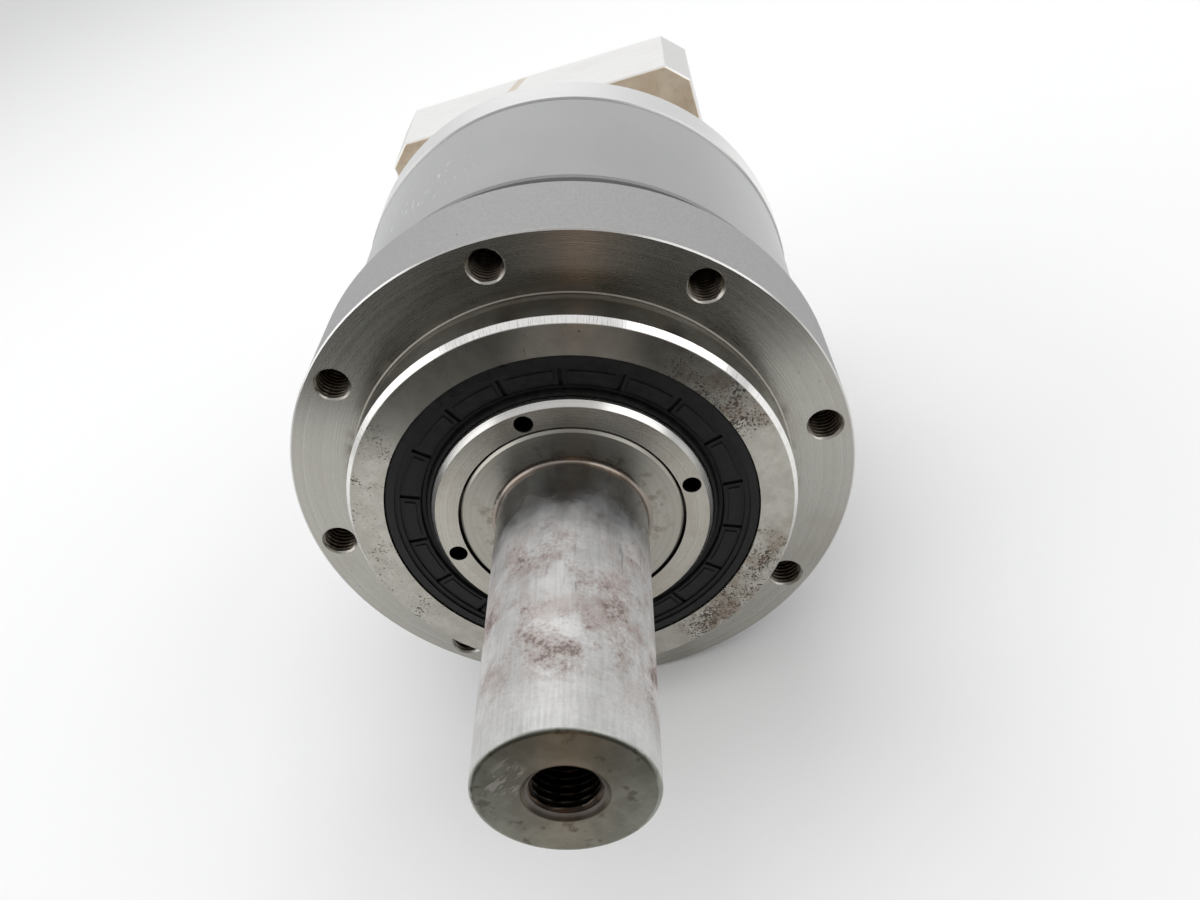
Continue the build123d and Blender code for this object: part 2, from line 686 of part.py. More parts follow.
with BuildPart() as output_seal:
    seal_body(SEAL_RADIUS - SLIP, NUT_RADIUS + SEAL_GAP, SEAL_RIM, SEAL_WIDTH, SEAL_FRONT, 1)
    channel_floor = SEAL_FRONT + SEAL_CHANNEL_DEPTH
    turned(
        (SEAL_CHANNEL_INNER, SEAL_FRONT),
        (SEAL_CHANNEL_INNER, channel_floor),
        (SEAL_PAD_INNER, channel_floor),
        (SEAL_PAD_INNER, SEAL_FRONT + SEAL_PAD_DEPTH),
        (SEAL_PAD_OUTER, SEAL_FRONT + SEAL_PAD_DEPTH),
        (SEAL_PAD_OUTER, channel_floor),
        (SEAL_CHANNEL_OUTER, channel_floor),
        (SEAL_CHANNEL_OUTER, SEAL_FRONT),
        mode=Mode.SUBTRACT,
    )
    for width, near, far, depth in (
        (SEAL_PAD_GAP, SEAL_PAD_INNER, SEAL_PAD_OUTER, SEAL_CHANNEL_DEPTH),
        (SEAL_SLOT_WIDTH, SEAL_CHANNEL_INNER, SEAL_CHANNEL_OUTER, SEAL_SLOT_DEPTH),
    ):
        radial_cuts(SEAL_SLOTS, SEAL_SLOT_ANGLE, near - SLIP, far, width, SEAL_FRONT, SEAL_FRONT + depth)
finish(output_seal, "output_seal")

with BuildPart() as output_seal_spring:
    turned_round(NUT_RADIUS + SEAL_GAP + SEAL_LIP_THICK, SEAL_FRONT + SEAL_SPRING_DEPTH, SEAL_SPRING)
finish(output_seal_spring, "output_seal_spring")

# ================================================================ taper roller bearings
# Stations run from each bearing's large end: the front one opens to -Y and the rear one to +Y.
TAPER_APEX = TAPER_MIDDLE + TAPER_CUP_MEAN_RADIUS / tan(radians(TAPER_CUP_ANGLE))
ROLLER_AXIS_ANGLE = (TAPER_CUP_ANGLE + TAPER_CONE_ANGLE) / 2
ROLLER_HALF_ANGLE = (TAPER_CUP_ANGLE - TAPER_CONE_ANGLE) / 2


def taper_radius(angle, station):
    """Radius at a station of the cone with that half angle, whose tip is the bearing's apex."""
    return (TAPER_APEX - station) * tan(radians(angle))


def placed(large_end, way, points):
    """Turn (radius, station) points into (radius, y) points."""
    return [(radius, large_end + way * station) for radius, station in points]


def roller_outline(gap):
    """Half of a roller's section, as (distance from the apex, distance from the roller's axis) points."""
    near = (TAPER_APEX - TAPER_MIDDLE) / cos(radians(ROLLER_AXIS_ANGLE)) - TAPER_ROLLER_LENGTH / 2 - gap
    far = near + TAPER_ROLLER_LENGTH + 2 * gap
    slope = tan(radians(ROLLER_HALF_ANGLE))
    return [(near, 0), (near, near * slope + gap), (far, far * slope + gap), (far, 0)]


def roller_set(large_end, way, gap):
    """The rollers of one bearing, each grown by gap; a negative gap is their running clearance."""
    apex = (0, large_end + way * TAPER_APEX)
    along = (sin(radians(ROLLER_AXIS_ANGLE)), -way * cos(radians(ROLLER_AXIS_ANGLE)))
    across = (cos(radians(ROLLER_AXIS_ANGLE)), way * sin(radians(ROLLER_AXIS_ANGLE)))
    corners = [
        (apex[0] + reach * along[0] + rise * across[0], apex[1] + reach * along[1] + rise * across[1])
        for reach, rise in roller_outline(gap)
    ]
    with BuildPart() as roller:
        with BuildSketch(Plane.XY):
            with BuildLine():
                Polyline(*corners, close=True)
            make_face()
        revolve(axis=Axis((*apex, 0), (*along, 0)))
    return [roller.part.rotate(Axis.Y, 360 * i / TAPER_ROLLER_COUNT) for i in range(TAPER_ROLLER_COUNT)]


for side, large_end, way in (("front", FRONT_BEARING_START, 1), ("rear", REAR_BEARING_END, -1)):
    running_rollers = roller_set(large_end, way, -ROLLING_GAP)
    cage_windows = roller_set(large_end, way, CAGE_GAP)

    with BuildPart() as inner_ring:
        small_rib = TAPER_WIDTH - TAPER_SMALL_RIB
        cone = [
            (TAPER_BORE + SLIP, 0),
            (TAPER_RIB_RADIUS, 0),
            (TAPER_RIB_RADIUS, TAPER_RIB),
            (taper_radius(TAPER_CONE_ANGLE, TAPER_RIB), TAPER_RIB),
            (taper_radius(TAPER_CONE_ANGLE, small_rib), small_rib),
            (TAPER_SMALL_RIB_RADIUS, small_rib),
            (TAPER_SMALL_RIB_RADIUS, TAPER_WIDTH),
            (TAPER_BORE + SLIP, TAPER_WIDTH),
        ]
        turned(*placed(large_end, way, cone))
    finish(inner_ring, f"{side}_bearing_inner_ring")

    with BuildPart() as outer_ring:
        cup_start = TAPER_WIDTH - TAPER_CUP_WIDTH
        cup = [
            (taper_radius(TAPER_CUP_ANGLE, cup_start), cup_start),
            (TAPER_OUTSIDE - SLIP, cup_start),
            (TAPER_OUTSIDE - SLIP, TAPER_WIDTH),
            (taper_radius(TAPER_CUP_ANGLE, TAPER_WIDTH), TAPER_WIDTH),
        ]
        turned(*placed(large_end, way, cup))
    finish(outer_ring, f"{side}_bearing_outer_ring")

    with BuildPart() as rollers:
        add(running_rollers)
    finish(rollers, f"{side}_bearing_rollers")

    with BuildPart() as cage:
        band = [
            (taper_radius(ROLLER_AXIS_ANGLE, station) + offset, station)
            for station, offset in (
                (CAGE_START, -CAGE_THICK / 2),
                (CAGE_START, CAGE_THICK / 2),
                (CAGE_END, CAGE_THICK / 2),
                (CAGE_END, -CAGE_THICK / 2),
            )
        ]
        turned(*placed(large_end, way, band))
        add(cage_windows, mode=Mode.SUBTRACT)
    finish(cage, f"{side}_bearing_cage")

# ================================================================ planetary stage
for number in range(1, PLANET_COUNT + 1):
    direction = FIRST_PLANET_ANGLE + 360 * (number - 1) / PLANET_COUNT
    centre_x = PLANET_CIRCLE * cos(radians(direction))
    centre_z = PLANET_CIRCLE * sin(radians(direction))

    with BuildPart() as planet_gear:
        gear_bar(
            PLANET_TEETH,
            MODULE * (PLANET_TEETH / 2 + ADDENDUM),
            MODULE * (PLANET_TEETH / 2 - DEDENDUM),
            TOOTH_THINNING,
            direction + 180,
            PLANET_FRONT,
            PLANET_FRONT + PLANET_WIDTH,
        )
        round_bars(1, 0, 0, BUSH_RADIUS, PLANET_FRONT, PLANET_FRONT + PLANET_WIDTH, Mode.SUBTRACT)
    planet_gear.part = planet_gear.part.moved(Location((centre_x, 0, centre_z)))
    finish(planet_gear, f"planet_gear_{number}")

    with BuildPart() as planet_bush:
        with BuildSketch(Plane.XZ.offset(-PLANET_FRONT - PLANET_WIDTH)):
            with Locations((centre_x, centre_z)):
                Circle(BUSH_RADIUS - SLIP)
                Circle(PIN_RADIUS + PIN_GAP, mode=Mode.SUBTRACT)
        extrude(amount=PLANET_WIDTH)
    finish(planet_bush, f"planet_bush_{number}")

with BuildPart() as planet_pins:
    round_bars(
        PLANET_COUNT,
        PLANET_CIRCLE,
        FIRST_PLANET_ANGLE,
        PIN_RADIUS - SLIP / 2,
        PIN_FRONT,
        CARRIER_REAR,
    )
    round_bars(
        PLANET_COUNT,
        PLANET_CIRCLE,
        FIRST_PLANET_ANGLE,
        PIN_OIL_HOLE,
        POCKET_FRONT,
        CARRIER_REAR,
        Mode.SUBTRACT,
    )
finish(planet_pins, "planet_pins")

with BuildPart() as planet_thrust_washers:
    for washer_front in (POCKET_FRONT, POCKET_REAR - WASHER_THICK):
        washer_rear = washer_front + WASHER_THICK
        round_bars(PLANET_COUNT, PLANET_CIRCLE, FIRST_PLANET_ANGLE, WASHER_RADIUS, washer_front, washer_rear)
    round_bars(
        PLANET_COUNT,
        PLANET_CIRCLE,
        FIRST_PLANET_ANGLE,
        PIN_RADIUS + PIN_GAP,
        POCKET_FRONT,
        POCKET_REAR,
        Mode.SUBTRACT,
    )
finish(planet_thrust_washers, "planet_thrust_washers")

# ================================================================ input side
with BuildPart() as input_shaft:
    turned(
        (0, SUN_FRONT),
        (SUN_SHANK_RADIUS, SUN_FRONT),
        (SUN_SHANK_RADIUS, REAR_SPIGOT_START),
        (INPUT_SEAT_RADIUS, REAR_SPIGOT_START),
        (INPUT_SEAT_RADIUS, INPUT_BEARING_END),
        (INPUT_SEAL_SEAT, INPUT_BEARING_END),
        (INPUT_SEAL_SEAT, HUB_START),
        (HUB_RADIUS, HUB_START),
        (HUB_RADIUS, HUB_END),
        (MOTOR_SHAFT_RADIUS, HUB_END),
        (MOTOR_SHAFT_RADIUS, HUB_END - MOTOR_SHAFT_DEPTH),
        (0, HUB_END - MOTOR_SHAFT_DEPTH),
    )
    gear_bar(
        SUN_TEETH,
        MODULE * (SUN_TEETH / 2 + ADDENDUM),
        MODULE * (SUN_TEETH / 2 - DEDENDUM),
        TOOTH_THINNING,
        0,
        SUN_FRONT,
        SUN_REAR,
    )
    turned(*circlip_groove(INPUT_SEAT_RADIUS - CIRCLIP_DEPTH, INPUT_SEAT_RADIUS), mode=Mode.SUBTRACT)
    with BuildSketch(Plane.XZ.offset(-HUB_END)):
        Rectangle(HUB_SLOT_WIDTH, 2 * HUB_RADIUS)
    extrude(amount=HUB_END - HUB_SLOT_START, mode=Mode.SUBTRACT)
finish(input_shaft, "input_shaft")

with BuildPart() as input_bearing_inner_ring:
    turned(
        *pipe(
            INPUT_SEAT_RADIUS + SLIP,
            BALL_CIRCLE - RACE_OFFSET,
            INPUT_BEARING_START,
            INPUT_BEARING_END,
        )
    )
    turned_round(BALL_CIRCLE, BALL_PLANE, BALL_RADIUS + ROLLING_GAP, mode=Mode.SUBTRACT)
finish(input_bearing_inner_ring, "input_bearing_inner_ring")

with BuildPart() as input_bearing_outer_ring:
    turned(
        *pipe(
            BALL_CIRCLE + RACE_OFFSET,
            INPUT_BEARING_OUTSIDE - SLIP,
            INPUT_BEARING_START,
            INPUT_BEARING_END,
        )
    )
    turned_round(BALL_CIRCLE, BALL_PLANE, BALL_RADIUS + ROLLING_GAP, mode=Mode.SUBTRACT)
finish(input_bearing_outer_ring, "input_bearing_outer_ring")

with BuildPart() as input_bearing_balls:
    for ball in range(BALL_COUNT):
        turn = 2 * pi * ball / BALL_COUNT
        with Locations((BALL_CIRCLE * cos(turn), BALL_PLANE, BALL_CIRCLE * sin(turn))):
            Sphere(BALL_RADIUS)
finish(input_bearing_balls, "input_bearing_balls")

with BuildPart() as input_bearing_cage:
    turned(
        *pipe(
            BALL_CIRCLE - CAGE_THICK / 2,
            BALL_CIRCLE + CAGE_THICK / 2,
            BALL_PLANE - BALL_CAGE_HALF,
            BALL_PLANE + BALL_CAGE_HALF,
        )
    )
    for ball in range(BALL_COUNT):
        turn = 2 * pi * ball / BALL_COUNT
        outwards = Plane(origin=(0, BALL_PLANE, 0), z_dir=(cos(turn), 0, sin(turn)))
        with BuildSketch(outwards.offset(BALL_CIRCLE - BALL_RADIUS)):
            Circle(BALL_RADIUS + CAGE_GAP)
        extrude(amount=2 * BALL_RADIUS, mode=Mode.SUBTRACT)
finish(input_bearing_cage, "input_bearing_cage")

with BuildPart() as input_bearing_circlip:
    groove_floor = INPUT_BEARING_OUTSIDE + CIRCLIP_DEPTH
    turned(*circlip(groove_floor - CIRCLIP_WIDTH, groove_floor - SLIP))
    circlip_gap(-1)
finish(input_bearing_circlip, "input_bearing_circlip")

with BuildPart() as input_shaft_circlip:
    groove_floor = INPUT_SEAT_RADIUS - CIRCLIP_DEPTH
    turned(*circlip(groove_floor + SLIP, groove_floor + CIRCLIP_WIDTH))
    circlip_gap(1)
finish(input_shaft_circlip, "input_shaft_circlip")

with BuildPart() as input_seal:
    seal_body(
        INPUT_SEAL_RADIUS - SLIP,
        INPUT_SEAL_SEAT + SEAL_GAP,
        INPUT_SEAL_RIM,
        INPUT_SEAL_WIDTH,
        INPUT_WEB_END + INPUT_SEAL_WIDTH,
        -1,
    )
finish(input_seal, "input_seal")

with BuildPart() as input_seal_spring:
    spring_plane = INPUT_WEB_END + INPUT_SEAL_WIDTH - SEAL_SPRING_DEPTH
    turned_round(INPUT_SEAL_SEAT + SEAL_GAP + SEAL_LIP_THICK, spring_plane, SEAL_SPRING)
finish(input_seal_spring, "input_seal_spring")

with BuildPart() as clamp_ring:
    turned(*pipe(HUB_RADIUS + SLIP, CLAMP_RADIUS, CLAMP_START, CLAMP_END))
    with BuildSketch(Plane.XZ.offset(-CLAMP_END)):
        with Locations((0, CLAMP_RADIUS / 2)):
            Rectangle(CLAMP_SLOT_WIDTH, CLAMP_RADIUS + 1)
    extrude(amount=CLAMP_END - CLAMP_START, mode=Mode.SUBTRACT)
    clamp_bar(CLAMP_SCREW_HEAD + SCREW_CLEARANCE, -CLAMP_RADIUS, CLAMP_SCREW_SEAT, Mode.SUBTRACT)
    clamp_bar(CLAMP_SCREW_RADIUS + SLIP, CLAMP_SCREW_SEAT, CLAMP_SCREW_TIP + 1, Mode.SUBTRACT)
finish(clamp_ring, "clamp_ring")

with BuildPart() as clamp_screw:
    clamp_bar(CLAMP_SCREW_RADIUS, CLAMP_SCREW_SEAT, CLAMP_SCREW_TIP)
    clamp_bar(CLAMP_SCREW_HEAD, CLAMP_HEAD_END, CLAMP_SCREW_SEAT)
    with BuildSketch(Plane.YZ.offset(CLAMP_HEAD_END)):
        with Locations((CLAMP_MIDDLE, CLAMP_SCREW_OFFSET)):
            RegularPolygon(CLAMP_SCREW_HEAD * SOCKET_SHARE, 6)
    extrude(amount=CLAMP_HEAD_HEIGHT / 2, mode=Mode.SUBTRACT)
finish(clamp_screw, "clamp_screw")

# ================================================================ fasteners, pins and rings
with BuildPart() as housing_screws:
    cap_screws(
        HOUSING_SCREW_COUNT,
        HOUSING_SCREW_CIRCLE,
        HOUSING_SCREW_ANGLE,
        HOUSING_SCREW_RADIUS - SLIP,
        HOUSING_SCREW_TIP,
        RING_REAR,
        HOUSING_SCREW_HEAD,
        2 * HOUSING_SCREW_RADIUS,
    )
finish(housing_screws, "housing_screws")

with BuildPart() as adapter_screws:
    cap_screws(
        ADAPTER_SCREW_COUNT,
        ADAPTER_SCREW_CIRCLE,
        0,
        ADAPTER_SCREW_RADIUS - SLIP,
        ADAPTER_SCREW_TIP,
        ADAPTER_SCREW_SEAT,
        ADAPTER_SCREW_HEAD,
        2 * ADAPTER_SCREW_RADIUS,
    )
finish(adapter_screws, "adapter_screws")

with BuildPart() as housing_dowels:
    dowel_start = HOUSING_FRONT - DOWEL_LENGTH / 2
    dowel_end = dowel_start + DOWEL_LENGTH
    round_bars(DOWELS, HOUSING_SCREW_CIRCLE, 0, DOWEL_RADIUS - SLIP, dowel_start, dowel_end)
finish(housing_dowels, "housing_dowels")

with BuildPart() as housing_o_ring:
    turned_round(O_RING_CIRCLE, FRONT_O_RING_PLACE, O_RING_RADIUS)
finish(housing_o_ring, "housing_o_ring")

with BuildPart() as flange_o_ring:
    turned_round(O_RING_CIRCLE, REAR_O_RING_PLACE, O_RING_RADIUS)
finish(flange_o_ring, "flange_o_ring")

with BuildPart() as access_plug:
    with BuildSketch(Plane.YZ.offset(-ADAPTER_SIDE / 2)):
        with Locations((CLAMP_MIDDLE, CLAMP_SCREW_OFFSET)):
            Circle(PLUG_RADIUS - SLIP)
    extrude(amount=PLUG_LENGTH)
    with BuildSketch(Plane.YZ.offset(-ADAPTER_SIDE / 2)):
        with Locations((CLAMP_MIDDLE, CLAMP_SCREW_OFFSET)):
            RegularPolygon(PLUG_RADIUS * SOCKET_SHARE, 6)
    extrude(amount=PLUG_LENGTH / 2, mode=Mode.SUBTRACT)
finish(access_plug, "access_plug")
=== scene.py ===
"""Looks of the inline gear reducer: materials, thread liners, studio and camera.

The frame is in metres: the shafts' axis is Y, the output shaft points to -Y and +Z is up. Materials work in
millimetres, because they scale the object's own coordinates by 1000.
"""

import json
from dataclasses import dataclass
from math import cos, pi, radians, sin

import bpy
from mathutils import Euler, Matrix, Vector


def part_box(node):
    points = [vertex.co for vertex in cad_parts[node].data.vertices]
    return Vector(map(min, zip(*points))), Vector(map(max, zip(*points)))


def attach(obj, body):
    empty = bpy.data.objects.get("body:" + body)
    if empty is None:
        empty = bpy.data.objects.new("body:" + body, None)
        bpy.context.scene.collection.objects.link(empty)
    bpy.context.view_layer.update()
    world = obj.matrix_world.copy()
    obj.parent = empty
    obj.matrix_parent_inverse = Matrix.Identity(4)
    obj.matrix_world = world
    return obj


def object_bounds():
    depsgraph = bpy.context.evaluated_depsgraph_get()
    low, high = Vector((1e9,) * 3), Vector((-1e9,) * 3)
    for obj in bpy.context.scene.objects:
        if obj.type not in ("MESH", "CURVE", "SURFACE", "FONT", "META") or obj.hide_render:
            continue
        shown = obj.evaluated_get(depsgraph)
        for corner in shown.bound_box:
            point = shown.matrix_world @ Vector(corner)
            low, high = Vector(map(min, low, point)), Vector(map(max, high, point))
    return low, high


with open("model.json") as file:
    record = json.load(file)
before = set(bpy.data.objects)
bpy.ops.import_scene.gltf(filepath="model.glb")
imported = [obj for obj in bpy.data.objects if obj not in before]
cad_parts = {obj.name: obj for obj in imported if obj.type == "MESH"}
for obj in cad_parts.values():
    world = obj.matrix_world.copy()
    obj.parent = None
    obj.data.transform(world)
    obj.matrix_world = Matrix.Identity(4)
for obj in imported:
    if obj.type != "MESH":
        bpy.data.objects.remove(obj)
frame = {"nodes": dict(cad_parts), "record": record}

cad_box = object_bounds()
MM = 0.001
QUARTER_TURN = 0.25


def station(node, side):
    """Where a node's box begins (side 0) or ends (side 1) along the shafts' axis, in millimetres."""
    return round(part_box(node)[side][1] / MM, 2)


# ---------------------------------------------------------------- read from the frame, in millimetres
SHAFT_END = station("output_shaft", 0)
NUT_FACE = station("spanner_nut", 0)
HOUSING_REAR = station("ring_gear_housing", 1)
ADAPTER_FRONT = station("motor_adapter", 0)
MOTOR_FACE = station("motor_adapter", 1)
ADAPTER_TOP = round(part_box("motor_adapter")[1][2] / MM, 2)
FLANGE_RADIUS = round(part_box("output_housing")[1][0] / MM, 2)

# ---------------------------------------------------------------- sizes that no box shows, in millimetres
FLANGE_FACE = 0.0
PAINT_START = 0.65
BOSS_RADIUS = 60.0
BOSS_LEAD_START = -10.7
BOSS_LEAD_RADIUS = 58.7
NECK_EDGE_RADIUS = 73.0
HOUSING_REAR_RADIUS = 71.3
SEAL_RIM_RADIUS = 47.3
SHAFT_RADIUS = 20.0
SHOULDER_FRONT = -16.0
WORN_END = -40.0
SCRAPE_START = -64.0
SCRAPE_END = -34.0
ROOT_START = -44.0
ROOT_WHOLE = -25.0
NUT_CHAMFER_RADIUS = 36.2
OUTPUT_BOLT_CIRCLE = 70.0
OUTPUT_BOLT_DEPTH = 22.0
MOTOR_BOLT_CIRCLE = 65.0
MOTOR_BOLT_DEPTH = 26.0
END_HOLE_DEPTH = 36.8
END_COUNTERSINK = 1.15
END_COUNTERSINK_RADIUS = 9.2


# ================================================================ shader graph helpers
class Graph:
    """A material's node tree, with short calls for the nodes used here.

    position, x, y, z and radius are outputs in millimetres. angle is in radians, from +X towards +Z.
    """

    def __init__(self, name):
        self.material = bpy.data.materials.new(name)
        self.material.use_nodes = True
        self.tree = self.material.node_tree
        self.shader = self.tree.nodes["Principled BSDF"]
        coordinates = self.tree.nodes.new("ShaderNodeTexCoord")
        scale = self.node("ShaderNodeVectorMath", operation="SCALE")
        self.link(coordinates.outputs["Object"], scale.inputs[0])
        scale.inputs["Scale"].default_value = 1 / MM
        self.position = scale.outputs[0]
        axes = self.node("ShaderNodeSeparateXYZ")
        self.link(self.position, axes.inputs[0])
        self.x, self.y, self.z = axes.outputs
        self.radius = self.math("SQRT", self.add(self.mul(self.x, self.x), self.mul(self.z, self.z)))
        self.angle = self.math("ARCTAN2", self.z, self.x)

    def node(self, kind, **settings):
        made = self.tree.nodes.new(kind)
        for key, value in settings.items():
            setattr(made, key, value)
        return made

    def link(self, source, socket):
        """Join a node's output to a socket, or set the socket to a number or to an RGB colour."""
        if hasattr(source, "is_output"):
            self.tree.links.new(source, socket)
        elif isinstance(source, tuple):
            socket.default_value = (*source, 1.0)
        else:
            socket.default_value = source

    def math(self, operation, *values):
        made = self.node("ShaderNodeMath", operation=operation)
        for value, socket in zip(values, made.inputs):
            self.link(value, socket)
        return made.outputs[0]

    def add(self, a, b):
        return self.math("ADD", a, b)

    def mul(self, a, b):
        return self.math("MULTIPLY", a, b)

    def sub(self, a, b):
        return self.math("SUBTRACT", a, b)

    def most(self, a, b):
        return self.math("MAXIMUM", a, b)

    def invert(self, a):
        return self.sub(1.0, a)

    def step(self, value, low, high):
        """0 below low, 1 above high and smooth between; low may be the greater, which turns it round."""
        if low > high:
            return self.invert(self.step(value, high, low))
        made = self.node("ShaderNodeMapRange", interpolation_type="SMOOTHSTEP")
        self.link(value, made.inputs["Value"])
        made.inputs["From Min"].default_value = low
        made.inputs["From Max"].default_value = high
        return made.outputs["Result"]

    def band(self, value, low, high, soft):
        """1 between low and high, with edges that wide."""
        rise = self.step(value, low - soft / 2, low + soft / 2)
        return self.mul(rise, self.step(value, high + soft / 2, high - soft / 2))

    def spread(self, value, low, high, to_low, to_high):
        """A plain linear map of a value, clamped."""
        made = self.node("ShaderNodeMapRange")
        self.link(value, made.inputs["Value"])
        limits = {"From Min": low, "From Max": high, "To Min": to_low, "To Max": to_high}
        for name, number in limits.items():
            made.inputs[name].default_value = number
        return made.outputs["Result"]

    def vector(self, x, y, z):
        made = self.node("ShaderNodeCombineXYZ")
        for value, socket in zip((x, y, z), made.inputs):
            self.link(value, socket)
        return made.outputs[0]

    def noise(self, size, detail=3.0, rough=0.55, at=None, seed=0.0):
        """Noise whose blotches are about size millimetres across."""
        made = self.node("ShaderNodeTexNoise", noise_dimensions="4D")
        self.link(self.position if at is None else at, made.inputs["Vector"])
        made.inputs["W"].default_value = seed
        made.inputs["Scale"].default_value = 1 / size
        made.inputs["Detail"].default_value = detail
        made.inputs["Roughness"].default_value = rough
        return made.outputs["Fac"]

    def mixed(self, data_type, factor, a, b):
        """A Mix node. It repeats its sockets' names for each type of data, so they go by number."""
        first, second, result = {"FLOAT": (2, 3, 0), "RGBA": (6, 7, 2)}[data_type]
        made = self.node("ShaderNodeMix", data_type=data_type)
        self.link(factor, made.inputs[0])
        self.link(a, made.inputs[first])
        self.link(b, made.inputs[second])
        return made.outputs[result]

    def mix(self, factor, a, b):
        """Colour a where factor is 0 and b where it is 1."""
        return self.mixed("RGBA", factor, a, b)

    def blend(self, factor, a, b):
        """Number a where factor is 0 and b where it is 1."""
        return self.mixed("FLOAT", factor, a, b)

    def bump(self, height, depth):
        """A bump of that height field, whose full range is depth millimetres."""
        made = self.node("ShaderNodeBump")
        made.inputs["Distance"].default_value = depth * MM
        self.link(height, made.inputs["Height"])
        self.link(made.outputs[0], self.shader.inputs["Normal"])

    def set(self, **values):
        """Set or link the shader's inputs; an underscore stands for the space in a name."""
        for key, value in values.items():
            self.link(value, self.shader.inputs[key.replace("_", " ")])

    def turned(self, amount):
        """Turned metal: the highlight is drawn out across the tool marks."""
        tangent = self.node("ShaderNodeTangent", direction_type="RADIAL", axis="Y")
        self.set(Tangent=tangent.outputs[0], Anisotropic=amount, Anisotropic_Rotation=QUARTER_TURN)

    def rings(self, pitch, seed):
        """Fine concentric tool marks: noise that changes only with the radius and along the axis."""
        return self.noise(pitch, detail=4.0, rough=0.5, at=self.vector(self.radius, self.y, 0.0), seed=seed)

    def streaks(self, length, width, seed):
        """Marks drawn out along the axis, on a round surface."""
        stretched = self.vector(self.x, self.mul(self.y, width / length), self.z)
        return self.noise(width, at=stretched, seed=seed)

    def around(self, degrees_at, half_width, soft):
        """1 within half_width degrees of a direction in the plane XZ."""
        aim = self.add(
            self.mul(self.math("COSINE", self.angle), cos(radians(degrees_at))),
            self.mul(self.math("SINE", self.angle), sin(radians(degrees_at))),
        )
        return self.step(aim, cos(radians(half_width + soft)), cos(radians(half_width)))


# ================================================================ output housing
def flange_face_steel(g):
    """Turned flange face: fine rings, faint clouds, stains round the boss and small pits."""
    marks = g.rings(0.35, seed=1.0)
    wide_marks = g.rings(2.2, seed=2.0)
    cloud = g.noise(24.0, 3.0, seed=3.0)
    colour = g.mix(g.spread(wide_marks, 0.35, 0.65, 0.0, 1.0), (0.41, 0.40, 0.365), (0.47, 0.46, 0.42))
    colour = g.mix(g.spread(marks, 0.3, 0.7, 0.0, 0.2), colour, (0.31, 0.30, 0.27))
    colour = g.mix(g.mul(g.step(cloud, 0.45, 0.7), 0.4), colour, (0.31, 0.285, 0.255))
    near_boss = g.step(g.radius, BOSS_RADIUS + 3.5, BOSS_RADIUS)
    stain = g.mul(near_boss, g.step(g.noise(9.0, 4.0, seed=4.0), 0.42, 0.62))
    colour = g.mix(g.mul(stain, 0.5), colour, (0.16, 0.12, 0.09))
    pits = g.step(g.noise(1.1, 2.0, seed=5.0), 0.70, 0.75)
    colour = g.mix(g.mul(pits, 0.6), colour, (0.10, 0.08, 0.06))
    rough = g.add(g.spread(marks, 0.2, 0.8, 0.20, 0.36), g.mul(stain, 0.2))
    return colour, rough


def boss_face_steel(g):
    """Boss face: light steel with clusters of rust specks, smudged where they are thick."""
    blotches = g.step(g.noise(6.0, 3.0, seed=6.0), 0.35, 0.65)
    colour = g.mix(blotches, (0.50, 0.485, 0.435), (0.41, 0.395, 0.35))
    colour = g.mix(g.spread(g.noise(0.6, 2.0, seed=13.0), 0.3, 0.7, 0.0, 0.3), colour, (0.27, 0.26, 0.235))
    heavy = g.most(g.around(30, 9, 16), g.around(313, 16, 18))
    light = g.most(g.around(152, 14, 26), g.around(186, 12, 22))
    clusters = g.most(heavy, g.mul(light, 0.72))
    clusters = g.most(clusters, g.mul(g.around(75, 30, 25), 0.45))
    patchy = g.spread(g.noise(6.0, 2.0, seed=14.0), 0.35, 0.65, -0.05, 0.06)
    speck_noise = g.add(g.noise(0.62, 5.0, 0.75, seed=7.0), patchy)
    threshold = g.spread(clusters, 0.0, 1.0, 0.22, 0.0)
    specks = g.step(g.sub(speck_noise, threshold), 0.52, 0.58)
    colour = g.mix(g.mul(specks, 0.95), colour, (0.07, 0.05, 0.038))
    smudge = g.mul(heavy, g.step(g.noise(5.0, 4.0, seed=8.0), 0.42, 0.66))
    colour = g.mix(g.mul(smudge, 0.6), colour, (0.22, 0.165, 0.125))
    # painted reflection: the face is darkened towards the top, standing in for the dark surroundings it
    # reflects there
    colour = g.mix(g.mul(g.around(75, 30, 40), 0.22), colour, (0.12, 0.115, 0.10))
    return colour, g.add(0.23, g.mul(specks, 0.3))


def boss_steel(g):
    """The whole boss: its face, its ticked chamfer, bright partly as a painted highlight, and its wall."""
    colour, rough = boss_face_steel(g)
    outside = g.step(g.radius, BOSS_LEAD_RADIUS, BOSS_LEAD_RADIUS + 0.25)
    lead = g.mul(outside, g.step(g.y, BOSS_LEAD_START + 0.1, BOSS_LEAD_START - 0.15))
    ticks = g.noise(1.0, 2.0, at=g.vector(g.mul(g.angle, 190.0), g.mul(g.radius, 0.25), 0.0), seed=9.0)
    # the chamfer's ticked light steel is partly its machined colour and partly a painted highlight
    colour = g.mix(lead, colour, g.mix(g.step(ticks, 0.50, 0.68), (0.90, 0.89, 0.87), (0.66, 0.645, 0.61)))
    wall = g.mul(g.band(g.y, BOSS_LEAD_START, FLANGE_FACE - 0.2, 0.1), outside)
    cloud = g.step(g.noise(9.0, 3.0, seed=15.0), 0.4, 0.65)
    colour = g.mix(wall, colour, g.mix(cloud, (0.40, 0.39, 0.36), (0.33, 0.305, 0.265)))
    rough = g.blend(wall, rough, 0.20)
    return colour, g.blend(lead, rough, 0.24)


